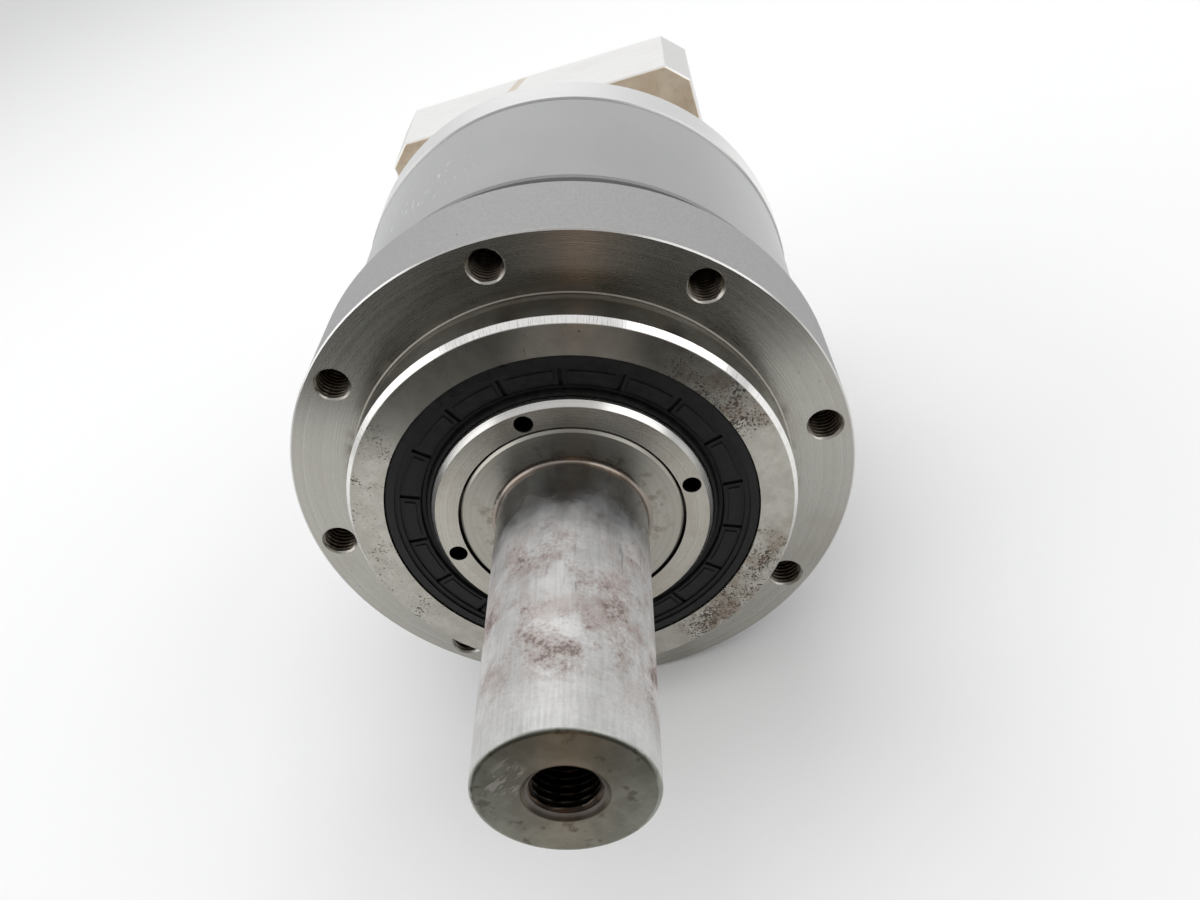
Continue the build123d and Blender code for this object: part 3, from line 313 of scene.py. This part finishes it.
def flange_paint(g, sand):
    """Sand-textured grey paint with a few chips near the rim, and painted shade darkening the neck."""
    colour = g.mix(g.step(sand, 0.3, 0.7), (0.295, 0.295, 0.292), (0.36, 0.36, 0.356))
    chips = g.mul(g.step(g.noise(2.6, 2.0, seed=11.0), 0.745, 0.765), g.step(g.radius, 70.0, 71.0))
    colour = g.mix(chips, colour, (0.08, 0.075, 0.08))
    # painted shade: the neck between the flange and the housing is darkened
    neck = g.step(g.radius, NECK_EDGE_RADIUS + 0.5, NECK_EDGE_RADIUS - 0.5)
    return g.mix(neck, colour, (0.10, 0.10, 0.097))


def make_flange():
    """Output housing: sand-textured paint outside, turned steel on the flange face and the boss."""
    g = Graph("flange_casting")
    steel, rough = flange_face_steel(g)
    boss_colour, boss_rough = boss_steel(g)
    raised = g.step(g.y, FLANGE_FACE - 0.6, FLANGE_FACE - 1.2)
    boss = g.mul(raised, g.step(g.radius, BOSS_RADIUS + 0.6, BOSS_RADIUS + 0.3))
    steel = g.mix(boss, steel, boss_colour)
    rough = g.blend(boss, rough, boss_rough)
    # painted highlights: a bright line round the base of the boss, and a bright edge round the flange
    level = g.step(g.y, FLANGE_FACE - 0.55, FLANGE_FACE - 0.35)
    foot_highlight = g.mul(g.band(g.radius, BOSS_RADIUS - 0.1, BOSS_RADIUS + 0.35, 0.15), level)
    steel = g.mix(foot_highlight, steel, (0.92, 0.88, 0.80))
    rough = g.blend(foot_highlight, rough, 0.65)
    corner = g.step(g.radius, FLANGE_RADIUS - 0.55, FLANGE_RADIUS - 0.38)
    rim = g.mul(corner, g.step(g.y, FLANGE_FACE + 0.5, FLANGE_FACE + 0.3))
    steel = g.mix(rim, steel, (0.62, 0.61, 0.60))
    # steel shows in front of the paint's edge and inside the bolt holes
    bare = g.step(g.y, PAINT_START + 0.1, PAINT_START - 0.1)
    inside = g.mul(g.step(g.y, 0.9, 1.2), g.step(g.y, OUTPUT_BOLT_DEPTH + 2.0, OUTPUT_BOLT_DEPTH + 1.0))
    inside = g.mul(inside, g.step(g.radius, OUTPUT_BOLT_CIRCLE + 5.6, OUTPUT_BOLT_CIRCLE + 5.3))
    metal = g.most(bare, inside)
    sand = g.noise(0.55, 3.0, 0.6, seed=10.0)
    colour = g.mix(metal, flange_paint(g, sand), steel)
    g.set(Base_Color=colour, Metallic=metal, Roughness=g.blend(metal, 0.62, rough))
    g.turned(0.8)
    tool_marks = g.mul(g.rings(0.5, seed=12.0), g.mul(metal, 0.16))
    g.bump(g.add(tool_marks, g.mul(g.mul(sand, g.invert(metal)), 2.4)), 0.05)
    return g.material


# ================================================================ housing, input flange and adapter
def make_housing_paint():
    """Ring gear housing: grey satin paint with a few light scratches."""
    g = Graph("grey_paint")
    fine = g.noise(0.8, 2.0, seed=20.0)
    cloud = g.noise(35.0, 3.0, seed=21.0)
    colour = g.mix(g.spread(cloud, 0.3, 0.7, 0.0, 1.0), (0.285, 0.287, 0.283), (0.325, 0.327, 0.322))
    colour = g.mix(g.spread(fine, 0.3, 0.7, 0.0, 0.25), colour, (0.20, 0.20, 0.197))
    patch = g.mul(g.around(114, 10, 10), g.band(g.y, 54.0, 76.0, 8.0))
    scratch = g.mul(g.step(g.streaks(5.0, 1.0, seed=22.0), 0.60, 0.65), patch)
    colour = g.mix(g.mul(scratch, 0.6), colour, (0.60, 0.60, 0.59))
    stray = g.step(g.streaks(7.0, 0.8, seed=25.0), 0.745, 0.77)
    colour = g.mix(g.mul(stray, 0.4), colour, (0.50, 0.50, 0.49))
    specks = g.step(g.noise(1.4, 1.0, seed=24.0), 0.77, 0.80)
    colour = g.mix(g.mul(specks, 0.5), colour, (0.10, 0.10, 0.095))
    g.set(Base_Color=colour, Metallic=0.0, Roughness=g.spread(cloud, 0.3, 0.7, 0.34, 0.44))
    g.set(Sheen_Weight=0.35, Sheen_Roughness=0.35)
    g.bump(fine, 0.02)
    return g.material


def make_ring_aluminium():
    """Input flange and coupling housing: turned aluminium, dark in the joint with the grey housing."""
    g = Graph("ring_aluminium")
    marks = g.rings(0.5, seed=30.0)
    cloud = g.noise(22.0, 3.0, seed=31.0)
    colour = g.mix(g.spread(marks, 0.3, 0.7, 0.0, 0.5), (0.88, 0.88, 0.87), (0.78, 0.78, 0.77))
    colour = g.mix(g.mul(g.step(cloud, 0.5, 0.75), 0.3), colour, (0.663, 0.663, 0.6545))
    joint_line = g.step(g.y, HOUSING_REAR + 0.7, HOUSING_REAR + 0.4)
    joint_line = g.mul(joint_line, g.step(g.radius, HOUSING_REAR_RADIUS - 0.3, HOUSING_REAR_RADIUS))
    colour = g.mix(g.mul(joint_line, 0.7), colour, (0.22, 0.22, 0.215))
    g.set(Base_Color=colour, Metallic=1.0, Roughness=g.spread(marks, 0.2, 0.8, 0.28, 0.42))
    g.turned(0.4)
    g.bump(marks, 0.012)
    return g.material


def make_adapter():
    """Motor adapter: near-white sawn aluminium sides, tan stained front face, one old run of glue on top."""
    g = Graph("adapter_aluminium")
    brushed = g.noise(0.7, 3.0, at=g.vector(g.mul(g.x, 0.12), g.y, g.mul(g.z, 0.12)), seed=40.0)
    cloud = g.noise(18.0, 3.0, seed=41.0)
    side = g.mix(g.spread(brushed, 0.3, 0.7, 0.0, 0.6), (0.82, 0.815, 0.80), (0.72, 0.715, 0.695))
    side = g.mix(g.mul(g.step(cloud, 0.5, 0.75), 0.25), side, (0.68, 0.66, 0.62))
    tan = g.mix(g.step(g.noise(10.0, 4.0, seed=42.0), 0.35, 0.65), (0.66, 0.535, 0.40), (0.76, 0.66, 0.52))
    tan = g.mix(g.mul(g.step(g.noise(3.0, 3.0, seed=43.0), 0.55, 0.7), 0.4), tan, (0.52, 0.40, 0.28))
    colour = g.mix(g.step(g.y, ADAPTER_FRONT + 0.25, ADAPTER_FRONT + 0.05), side, tan)
    slanted = g.add(g.x, g.mul(g.sub(g.y, MOTOR_FACE - 11.0), -0.35))
    run = g.mul(g.band(slanted, -10.5, -7.0, 1.2), g.band(g.y, MOTOR_FACE - 18.0, MOTOR_FACE - 1.0, 3.0))
    run = g.mul(run, g.step(g.z, ADAPTER_TOP - 1.0, ADAPTER_TOP - 0.2))
    colour = g.mix(g.mul(run, 0.55), colour, (0.55, 0.45, 0.30))
    g.set(Base_Color=colour, Metallic=0.85, Roughness=g.spread(brushed, 0.2, 0.8, 0.42, 0.56))
    g.bump(brushed, 0.02)
    return g.material


# ================================================================ output shaft and nut
def worn_steel(g, cloud, fine):
    """The shaft's grey surface before it rusted: blotches, lengthwise streaks and faint rings."""
    streaks = g.streaks(9.0, 0.7, seed=53.0)
    rings = g.noise(0.5, 3.0, at=g.vector(g.mul(g.angle, 1.5), g.y, 0.0), seed=48.0)
    colour = g.mix(g.step(cloud, 0.35, 0.65), (0.45, 0.445, 0.435), (0.60, 0.595, 0.585))
    colour = g.mix(g.spread(streaks, 0.35, 0.7, 0.0, 0.32), colour, (0.78, 0.78, 0.775))
    colour = g.mix(g.spread(rings, 0.45, 0.75, 0.0, 0.14), colour, (0.33, 0.31, 0.30))
    return g.mix(g.spread(fine, 0.5, 0.75, 0.0, 0.3), colour, (0.27, 0.25, 0.24))


def add_fretting(g, colour, fine):
    """Reddish mottling and rust along the shaft's worn length. Returns the colour and where the rust is."""
    worn = g.band(g.y, SHAFT_END + 13.0, WORN_END, 18.0)
    mottle = g.mul(g.step(g.noise(10.0, 4.0, 0.6, seed=47.0), 0.46, 0.62), worn)
    colour = g.mix(g.mul(mottle, 0.42), colour, (0.36, 0.285, 0.26))
    upper = g.spread(g.around(60, 40, 60), 0.0, 1.0, -0.05, 0.02)
    field = g.add(g.mul(g.noise(12.0, 6.0, 0.68, seed=54.0), 0.78), g.mul(fine, 0.22))
    field = g.add(field, upper)
    rust = g.mul(g.step(field, 0.47, 0.585), worn)
    colour = g.mix(g.mul(rust, 0.62), colour, (0.27, 0.195, 0.17))
    dark_rust = g.mul(g.step(field, 0.56, 0.60), worn)
    colour = g.mix(g.mul(dark_rust, 0.6), colour, (0.11, 0.07, 0.055))
    scrape = g.step(g.streaks(8.0, 1.2, seed=55.0), 0.64, 0.70)
    scrape = g.mul(scrape, g.band(g.y, SCRAPE_START, SCRAPE_END, 10.0))
    return g.mix(g.mul(scrape, 0.6), colour, (0.20, 0.19, 0.20)), rust


def shoulder_steel(g):
    """The shoulder in front of the nut: turned, with darker brownish patches round the shaft."""
    turned = g.spread(g.rings(0.6, seed=56.0), 0.3, 0.7, 0.0, 1.0)
    colour = g.mix(turned, (0.36, 0.345, 0.30), (0.44, 0.425, 0.38))
    dark_patches = g.mul(g.step(g.noise(3.5, 4.0, 0.65, seed=46.0), 0.50, 0.66), g.step(g.radius, 28.5, 23.0))
    return g.mix(g.mul(dark_patches, 0.55), colour, (0.17, 0.13, 0.09))


def end_face_steel(g):
    """The shaft's end face: dark and stained, with a patch of slanting light scuffs."""
    blotches = g.step(g.noise(6.0, 4.0, seed=57.0), 0.35, 0.65)
    colour = g.mix(blotches, (0.25, 0.258, 0.22), (0.345, 0.355, 0.31))
    stains = g.step(g.noise(4.5, 4.0, 0.65, seed=58.0), 0.56, 0.66)
    colour = g.mix(g.mul(stains, 0.55), colour, (0.075, 0.065, 0.05))
    along = g.add(g.mul(g.x, 0.80), g.mul(g.z, 0.60))
    across = g.add(g.mul(g.x, -0.60), g.mul(g.z, 0.80))
    strokes = g.noise(0.9, 3.0, 0.6, at=g.vector(g.mul(along, 0.28), across, 0.0), seed=59.0)
    scuffs = g.mul(g.step(strokes, 0.50, 0.58), g.around(140, 12, 16))
    scuffs = g.mul(scuffs, g.band(g.radius, 9.8, 16.5, 2.0))
    return g.mix(g.mul(scuffs, 0.8), colour, (0.62, 0.61, 0.58))


def make_shaft():
    """Output shaft: worn grey steel with mottled reddish fretting marks, darker and glossier at its root."""
    g = Graph("shaft_steel")
    cloud = g.noise(11.0, 4.0, 0.6, seed=50.0)
    fine = g.noise(0.8, 4.0, 0.75, seed=51.0)
    colour, rust = add_fretting(g, worn_steel(g, cloud, fine), fine)
    ragged = g.spread(g.noise(9.0, 4.0, 0.6, seed=45.0), 0.3, 0.7, -5.0, 5.0)
    root = g.step(g.add(g.y, ragged), ROOT_START, ROOT_WHOLE)
    blotches = g.step(g.noise(7.0, 3.0, seed=49.0), 0.4, 0.65)
    root_steel = g.mix(blotches, (0.38, 0.395, 0.42), (0.31, 0.30, 0.29))
    colour = g.mix(g.mul(root, 0.85), colour, root_steel)
    fillet = g.step(g.y, SHOULDER_FRONT - 1.6, SHOULDER_FRONT - 0.4)
    colour = g.mix(g.mul(fillet, 0.7), colour, (0.25, 0.19, 0.14))
    shoulder = g.step(g.radius, SHAFT_RADIUS + 1.0, SHAFT_RADIUS + 1.6)
    shoulder = g.mul(shoulder, g.step(g.y, SHOULDER_FRONT - 0.2, SHOULDER_FRONT + 0.2))
    colour = g.mix(shoulder, colour, shoulder_steel(g))
    end = g.step(g.y, SHAFT_END + 1.0, SHAFT_END + 0.3)
    colour = g.mix(end, colour, end_face_steel(g))
    sink = g.step(g.radius, END_COUNTERSINK_RADIUS + 0.4, END_COUNTERSINK_RADIUS)
    sink = g.mul(sink, g.step(g.y, SHAFT_END + 4.0, SHAFT_END + 3.0))
    colour = g.mix(g.mul(sink, 0.8), colour, (0.105, 0.08, 0.06))
    rough = g.add(g.spread(cloud, 0.3, 0.7, 0.48, 0.58), g.mul(rust, 0.15))
    rough = g.blend(root, rough, 0.24)
    rough = g.blend(shoulder, rough, 0.32)
    rough = g.blend(end, rough, 0.38)
    dull = g.mul(g.mul(g.invert(root), g.invert(end)), g.add(0.35, g.mul(rust, 0.3)))
    g.set(Base_Color=colour, Metallic=g.invert(dull), Roughness=rough)
    g.turned(0.35)
    g.bump(g.add(g.mul(fine, 0.6), g.mul(rust, -0.6)), 0.025)
    return g.material


def make_nut():
    """Spanner nut: turned steel with a bright chamfer, and painted shade inside its holes."""
    g = Graph("nut_steel")
    marks = g.rings(0.45, seed=60.0)
    colour = g.mix(g.spread(marks, 0.3, 0.7, 0.0, 1.0), (0.50, 0.48, 0.43), (0.41, 0.39, 0.345))
    tint = g.step(g.noise(9.0, 4.0, seed=61.0), 0.45, 0.7)
    colour = g.mix(g.mul(tint, 0.4), colour, (0.34, 0.295, 0.245))
    specks = g.step(g.noise(0.8, 3.0, 0.7, seed=62.0), 0.63, 0.70)
    colour = g.mix(g.mul(specks, 0.5), colour, (0.14, 0.11, 0.085))
    chamfer = g.step(g.radius, NUT_CHAMFER_RADIUS, NUT_CHAMFER_RADIUS + 0.3)
    colour = g.mix(g.mul(chamfer, 0.8), colour, (0.84, 0.83, 0.81))
    # painted shade: the walls behind the face, inside the holes, are made near black
    holes = g.step(g.radius, NUT_CHAMFER_RADIUS - 0.2, NUT_CHAMFER_RADIUS - 0.6)
    holes = g.mul(g.step(g.y, NUT_FACE + 0.3, NUT_FACE + 0.7), holes)
    colour = g.mix(holes, colour, (0.05, 0.045, 0.04))
    g.set(Base_Color=colour, Metallic=1.0, Roughness=g.spread(marks, 0.2, 0.8, 0.22, 0.33))
    g.turned(0.6)
    g.bump(marks, 0.012)
    return g.material


# ================================================================ smaller pieces
def make_rubber(name, seed):
    """Nitrile rubber: near black, glossier on the moulded rim, with faint dust all over."""
    g = Graph(name)
    dust = g.noise(2.2, 4.0, 0.65, seed=seed)
    rim = g.step(g.radius, SEAL_RIM_RADIUS - 0.2, SEAL_RIM_RADIUS + 0.2)
    colour = g.mix(g.spread(dust, 0.35, 0.75, 0.0, 1.0), (0.0038, 0.004, 0.0041), (0.0118, 0.012, 0.0121))
    rough = g.add(g.spread(dust, 0.3, 0.7, 0.36, 0.54), g.mul(rim, -0.12))
    g.set(Base_Color=colour, Metallic=0.0, Roughness=rough, Specular_IOR_Level=0.25)
    g.bump(g.noise(0.6, 2.0, seed=seed + 1), 0.01)
    return g.material


def make_smooth(name, light, dark, rough, seed, metallic=1.0, turned=0.3):
    """Machined steel, bronze, oxide or nylon for the smaller pieces."""
    g = Graph(name)
    marks = g.noise(0.8, 4.0, 0.6, seed=seed)
    cloud = g.noise(7.0, 3.0, seed=seed + 1)
    colour = g.mix(g.spread(marks, 0.3, 0.7, 0.0, 0.6), light, dark)
    colour = g.mix(g.mul(g.step(cloud, 0.5, 0.75), 0.4), colour, tuple(0.7 * c for c in dark))
    rough = g.spread(marks, 0.2, 0.8, rough - 0.05, rough + 0.08)
    g.set(Base_Color=colour, Metallic=metallic, Roughness=rough)
    g.turned(turned)
    g.bump(marks, 0.008)
    return g.material


# ================================================================ threaded liners
@dataclass
class ThreadedHoles:
    """Alike threaded holes along Y, in millimetres. way is +1 where they run to +Y and -1 where to -Y."""

    name: str
    count: int
    first_angle: float
    circle: float
    mouth: float
    way: int
    major: float
    crest: float
    pitch: float
    depth: float
    lead: float
    sides: int = 48

    def centres(self):
        turns = [radians(self.first_angle + 360 / self.count * i) for i in range(self.count)]
        return [(self.circle * cos(turn), self.circle * sin(turn)) for turn in turns]


OUTPUT_THREADS = ThreadedHoles(
    name="output_hole_threads",
    count=8,
    first_angle=0.0,
    circle=OUTPUT_BOLT_CIRCLE,
    mouth=FLANGE_FACE,
    way=1,
    major=5.0,
    crest=4.32,
    pitch=1.5,
    depth=OUTPUT_BOLT_DEPTH - 1.0,
    lead=0.75,
)
END_THREAD = ThreadedHoles(
    name="shaft_end_thread",
    count=1,
    first_angle=0.0,
    circle=0.0,
    mouth=SHAFT_END + END_COUNTERSINK,
    way=1,
    major=8.0,
    crest=7.05,
    pitch=2.0,
    depth=END_HOLE_DEPTH - 2.0,
    lead=0.95,
    sides=72,
)
MOTOR_THREADS = ThreadedHoles(
    name="motor_hole_threads",
    count=4,
    first_angle=45.0,
    circle=MOTOR_BOLT_CIRCLE,
    mouth=MOTOR_FACE,
    way=-1,
    major=4.0,
    crest=3.45,
    pitch=1.25,
    depth=MOTOR_BOLT_DEPTH - 1.0,
    lead=0.6,
)
LINER_GAP = 0.02
LINER_WALL = 0.03
ROWS_PER_TURN = 10


def make_thread(name, holes, mouth_colour, shaded_root_colour, shaded_crest_colour):
    """Oily cut thread; painted shade darkens it past the mouth, most in its roots and least on its crests.
    """
    g = Graph(name)
    # painted shade: past the mouth the liner takes darker tones, and darker still in its roots
    depth_shade = g.step(g.mul(g.sub(g.y, holes.mouth), holes.way), 0.4, 1.6)
    # the angle folded into one hole's share of the circle, then the distance from that hole's own axis
    fold = g.math("PINGPONG", g.sub(g.angle, radians(holes.first_angle)), pi / holes.count)
    across = g.sub(g.mul(g.radius, g.math("COSINE", fold)), holes.circle)
    beside = g.mul(g.radius, g.math("SINE", fold))
    reach = g.math("SQRT", g.add(g.mul(across, across), g.mul(beside, beside)))
    crest = g.step(reach, holes.major - 0.1, holes.crest + 0.05)
    oil = g.noise(2.5, 3.0, seed=80.0)
    top = g.mix(g.mul(g.step(oil, 0.35, 0.7), 0.5), shaded_crest_colour, shaded_root_colour)
    inner = g.mix(crest, tuple(0.3 * c for c in shaded_root_colour), top)
    colour = g.mix(depth_shade, mouth_colour, inner)
    g.set(Base_Color=colour, Metallic=1.0, Roughness=g.spread(oil, 0.3, 0.7, 0.26, 0.42))
    g.bump(oil, 0.01)
    return g.material


def thread_radius(holes, depth, turn):
    """A liner's inner radius: a ridge that winds down the hole, cut back by a cone at its mouth."""
    root = holes.major - LINER_GAP - LINER_WALL
    height = root - holes.crest
    phase = (depth / holes.pitch - turn) % 1.0
    ridge = min(1.0, max(0.0, 2.3 * (1 - abs(2 * phase - 1)) - 0.55))
    return max(root - height * ridge, root - height * depth / holes.lead)


def add_liner(vertices, faces, holes, centre):
    """Add one hole's liner: rings down the thread, then a plain tube back up its outside."""
    steps = int(holes.depth / holes.pitch * ROWS_PER_TURN)
    depths = [holes.depth * row / steps for row in range(steps + 1)]
    turns = [side / holes.sides for side in range(holes.sides)]
    rings = [(depth, [thread_radius(holes, depth, turn) for turn in turns]) for depth in depths]
    rings += [(depth, [holes.major - LINER_GAP] * holes.sides) for depth in (depths[-1], depths[0])]
    start = len(vertices)
    for depth, radii in rings:
        y = holes.mouth + holes.way * (depth + LINER_GAP)
        for turn, radius in zip(turns, radii):
            x = centre[0] + radius * cos(2 * pi * turn)
            z = centre[1] + radius * sin(2 * pi * turn)
            vertices.append((x, y, z))
    for ring in range(len(rings)):
        near = start + ring * holes.sides
        far = start + (ring + 1) % len(rings) * holes.sides
        for side in range(holes.sides):
            beside = (side + 1) % holes.sides
            quad = [near + side, near + beside, far + beside, far + side]
            faces.append(quad if holes.way > 0 else quad[::-1])


def build_liners(holes, body, material):
    """One piece with the liners of a set of alike holes, which rides on the body that has the holes."""
    vertices = []
    faces = []
    for centre in holes.centres():
        add_liner(vertices, faces, holes, centre)
    mesh = bpy.data.meshes.new(holes.name)
    mesh.from_pydata([tuple(MM * c for c in vertex) for vertex in vertices], [], faces)
    mesh.validate()
    mesh.update()
    for polygon in mesh.polygons:
        polygon.use_smooth = True
    mesh.materials.append(material)
    piece = bpy.data.objects.new(holes.name, mesh)
    bpy.context.scene.collection.objects.link(piece)
    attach(piece, body)
    creases = piece.modifiers.new("creases", "EDGE_SPLIT")
    creases.split_angle = radians(50)


# ================================================================ looks of the CAD's nodes and the liners
BY_SLOT = {
    "flange_steel": make_flange(),
    "grey_paint": make_housing_paint(),
    "aluminium": make_ring_aluminium(),
    "adapter_aluminium": make_adapter(),
    "shaft_steel": make_shaft(),
    "nut_steel": make_nut(),
    "seal_rubber": make_rubber("seal_rubber", 70.0),
    "o_ring_rubber": make_rubber("o_ring_rubber", 74.0),
    "gear_steel": make_smooth("gear_steel", (0.50, 0.50, 0.505), (0.38, 0.38, 0.385), 0.30, 90.0),
    "bearing_steel": make_smooth("bearing_steel", (0.72, 0.72, 0.73), (0.62, 0.62, 0.63), 0.16, 92.0),
    "screw_steel": make_smooth("screw_oxide", (0.09, 0.09, 0.095), (0.045, 0.045, 0.05), 0.40, 94.0),
    "spring_steel": make_smooth("spring_steel", (0.58, 0.58, 0.60), (0.42, 0.42, 0.44), 0.24, 96.0),
    "bronze": make_smooth("bronze", (0.66, 0.47, 0.24), (0.52, 0.35, 0.17), 0.32, 98.0),
    "cage_polymer": make_smooth(
        "polyamide", (0.085, 0.082, 0.075), (0.055, 0.053, 0.05), 0.52, 100.0, metallic=0.0, turned=0.0
    ),
}
for subpart in frame["record"]["subparts"]:
    node = frame["nodes"][subpart["node"]]
    node.data.materials.clear()
    node.data.materials.append(BY_SLOT[subpart["material_slot"]])

# each thread's second and third colours are painted shade for its roots and crests deep in the hole
output_thread_steel = make_thread(
    "output_thread_steel", OUTPUT_THREADS, (0.46, 0.44, 0.40), (0.032, 0.024, 0.018), (0.20, 0.165, 0.13)
)
build_liners(OUTPUT_THREADS, "reducer_housing", output_thread_steel)
end_thread_steel = make_thread(
    "end_thread_steel", END_THREAD, (0.12, 0.09, 0.07), (0.013, 0.011, 0.009), (0.055, 0.046, 0.039)
)
build_liners(END_THREAD, "output", end_thread_steel)
motor_thread_aluminium = make_thread(
    "motor_thread_aluminium", MOTOR_THREADS, (0.84, 0.83, 0.80), (0.30, 0.29, 0.28), (0.62, 0.61, 0.59)
)
build_liners(MOTOR_THREADS, "reducer_housing", motor_thread_aluminium)


# ================================================================ studio, in metres
FLOOR_REACH = 8.0
FLOOR_GAP = 0.0003
# The picture is rolled against Z, and the cards are rolled with it. A card's low and high edges are given as
# the height along the picture's up and the station on Y.
PICTURE_UP = Vector((0.32, 0.0, 0.947))
PICTURE_RIGHT = Vector((0.947, 0.0, -0.32))
CARD_LOW_EDGE = (-0.078, -0.15)
CARD_HIGH_EDGE = (1.3, -0.893)


def plain_material(name, colour, rough, glow=0.0):
    """One even colour, which may glow."""
    material = bpy.data.materials.new(name)
    material.use_nodes = True
    shader = material.node_tree.nodes["Principled BSDF"]
    shader.inputs["Base Color"].default_value = (*colour, 1.0)
    shader.inputs["Roughness"].default_value = rough
    shader.inputs["Emission Color"].default_value = (*colour, 1.0)
    shader.inputs["Emission Strength"].default_value = glow
    return material


def stage_sheet(name, corners, material):
    """A flat sheet that belongs to the studio and not to the object."""
    mesh = bpy.data.meshes.new(name)
    mesh.from_pydata([tuple(corner) for corner in corners], [], [(0, 1, 2, 3)])
    mesh.materials.append(material)
    sheet = bpy.data.objects.new(name, mesh)
    bpy.context.scene.collection.objects.link(sheet)
    return sheet


def make_floor():
    """A plain pale floor under the part, far wider than any view."""
    level = cad_box[0][2] - FLOOR_GAP
    ways = ((-1, -1), (1, -1), (1, 1), (-1, 1))
    corners = [(FLOOR_REACH * x, FLOOR_REACH * y, level) for x, y in ways]
    stage_sheet("floor", corners, plain_material("pale_floor", (0.86, 0.86, 0.855), 0.8))


def make_card(name, half_width, lift, colour, glow):
    """A card in front of the part that only its reflections see: a wide dark one, or a thin warm strip."""
    corners = []
    for (height, y), sides in ((CARD_LOW_EDGE, (-1, 1)), (CARD_HIGH_EDGE, (1, -1))):
        middle = PICTURE_UP * height + Vector((0.0, y + lift, 0.0))
        corners += [middle + PICTURE_RIGHT * (half_width * side) for side in sides]
    card = stage_sheet(name, corners, plain_material(name, colour, 0.9, glow))
    card.visible_camera = False
    card.visible_shadow = False
    card.visible_diffuse = False


def soft_lamp(name, place, aim, width, height, power):
    """A large rectangular lamp, turned towards a point."""
    lamp = bpy.data.lights.new(name, "AREA")
    lamp.shape = "RECTANGLE"
    lamp.size = width
    lamp.size_y = height
    lamp.energy = power
    holder = bpy.data.objects.new(name, lamp)
    bpy.context.scene.collection.objects.link(holder)
    holder.location = place
    holder.rotation_euler = (Vector(aim) - Vector(place)).to_track_quat("-Z", "Y").to_euler()


def make_camera():
    """Above and in front of the shaft's end, looking down along the reducer."""
    lens = bpy.data.cameras.new("camera")
    lens.sensor_width = 36.0
    lens.lens = 33.95
    lens.clip_start = 0.01
    holder = bpy.data.objects.new("camera", lens)
    bpy.context.scene.collection.objects.link(holder)
    holder.location = (0.0623, -0.2436, 0.1841)
    holder.rotation_euler = Euler([radians(turn) for turn in (53.146, 16.773, -0.196)])
    bpy.context.scene.camera = holder


def make_world():
    """Even, faintly cool light from all round."""
    world = bpy.data.worlds.new("studio")
    world.use_nodes = True
    background = world.node_tree.nodes["Background"]
    background.inputs["Color"].default_value = (0.985, 0.99, 1.0, 1.0)
    background.inputs["Strength"].default_value = 0.72
    bpy.context.scene.world = world
    bpy.context.scene.view_settings.view_transform = "Standard"


make_floor()
make_camera()
make_card("dark_card", 0.23, 0.0, (0.034, 0.033, 0.027), 0.0)
make_card("warm_strip", 0.003, 0.005, (1.0, 0.55, 0.30), 0.14)
soft_lamp("left_window", (-0.9, -0.25, 0.55), (0, 0, 0), 0.9, 0.9, 2.8)
soft_lamp("right_window", (1.0, -0.15, 0.6), (0, 0, 0), 0.9, 0.9, 2.8)
soft_lamp("ceiling", (0.0, 0.75, 1.2), (0, 0.5, 0), 1.4, 1.0, 7.4)
make_world()
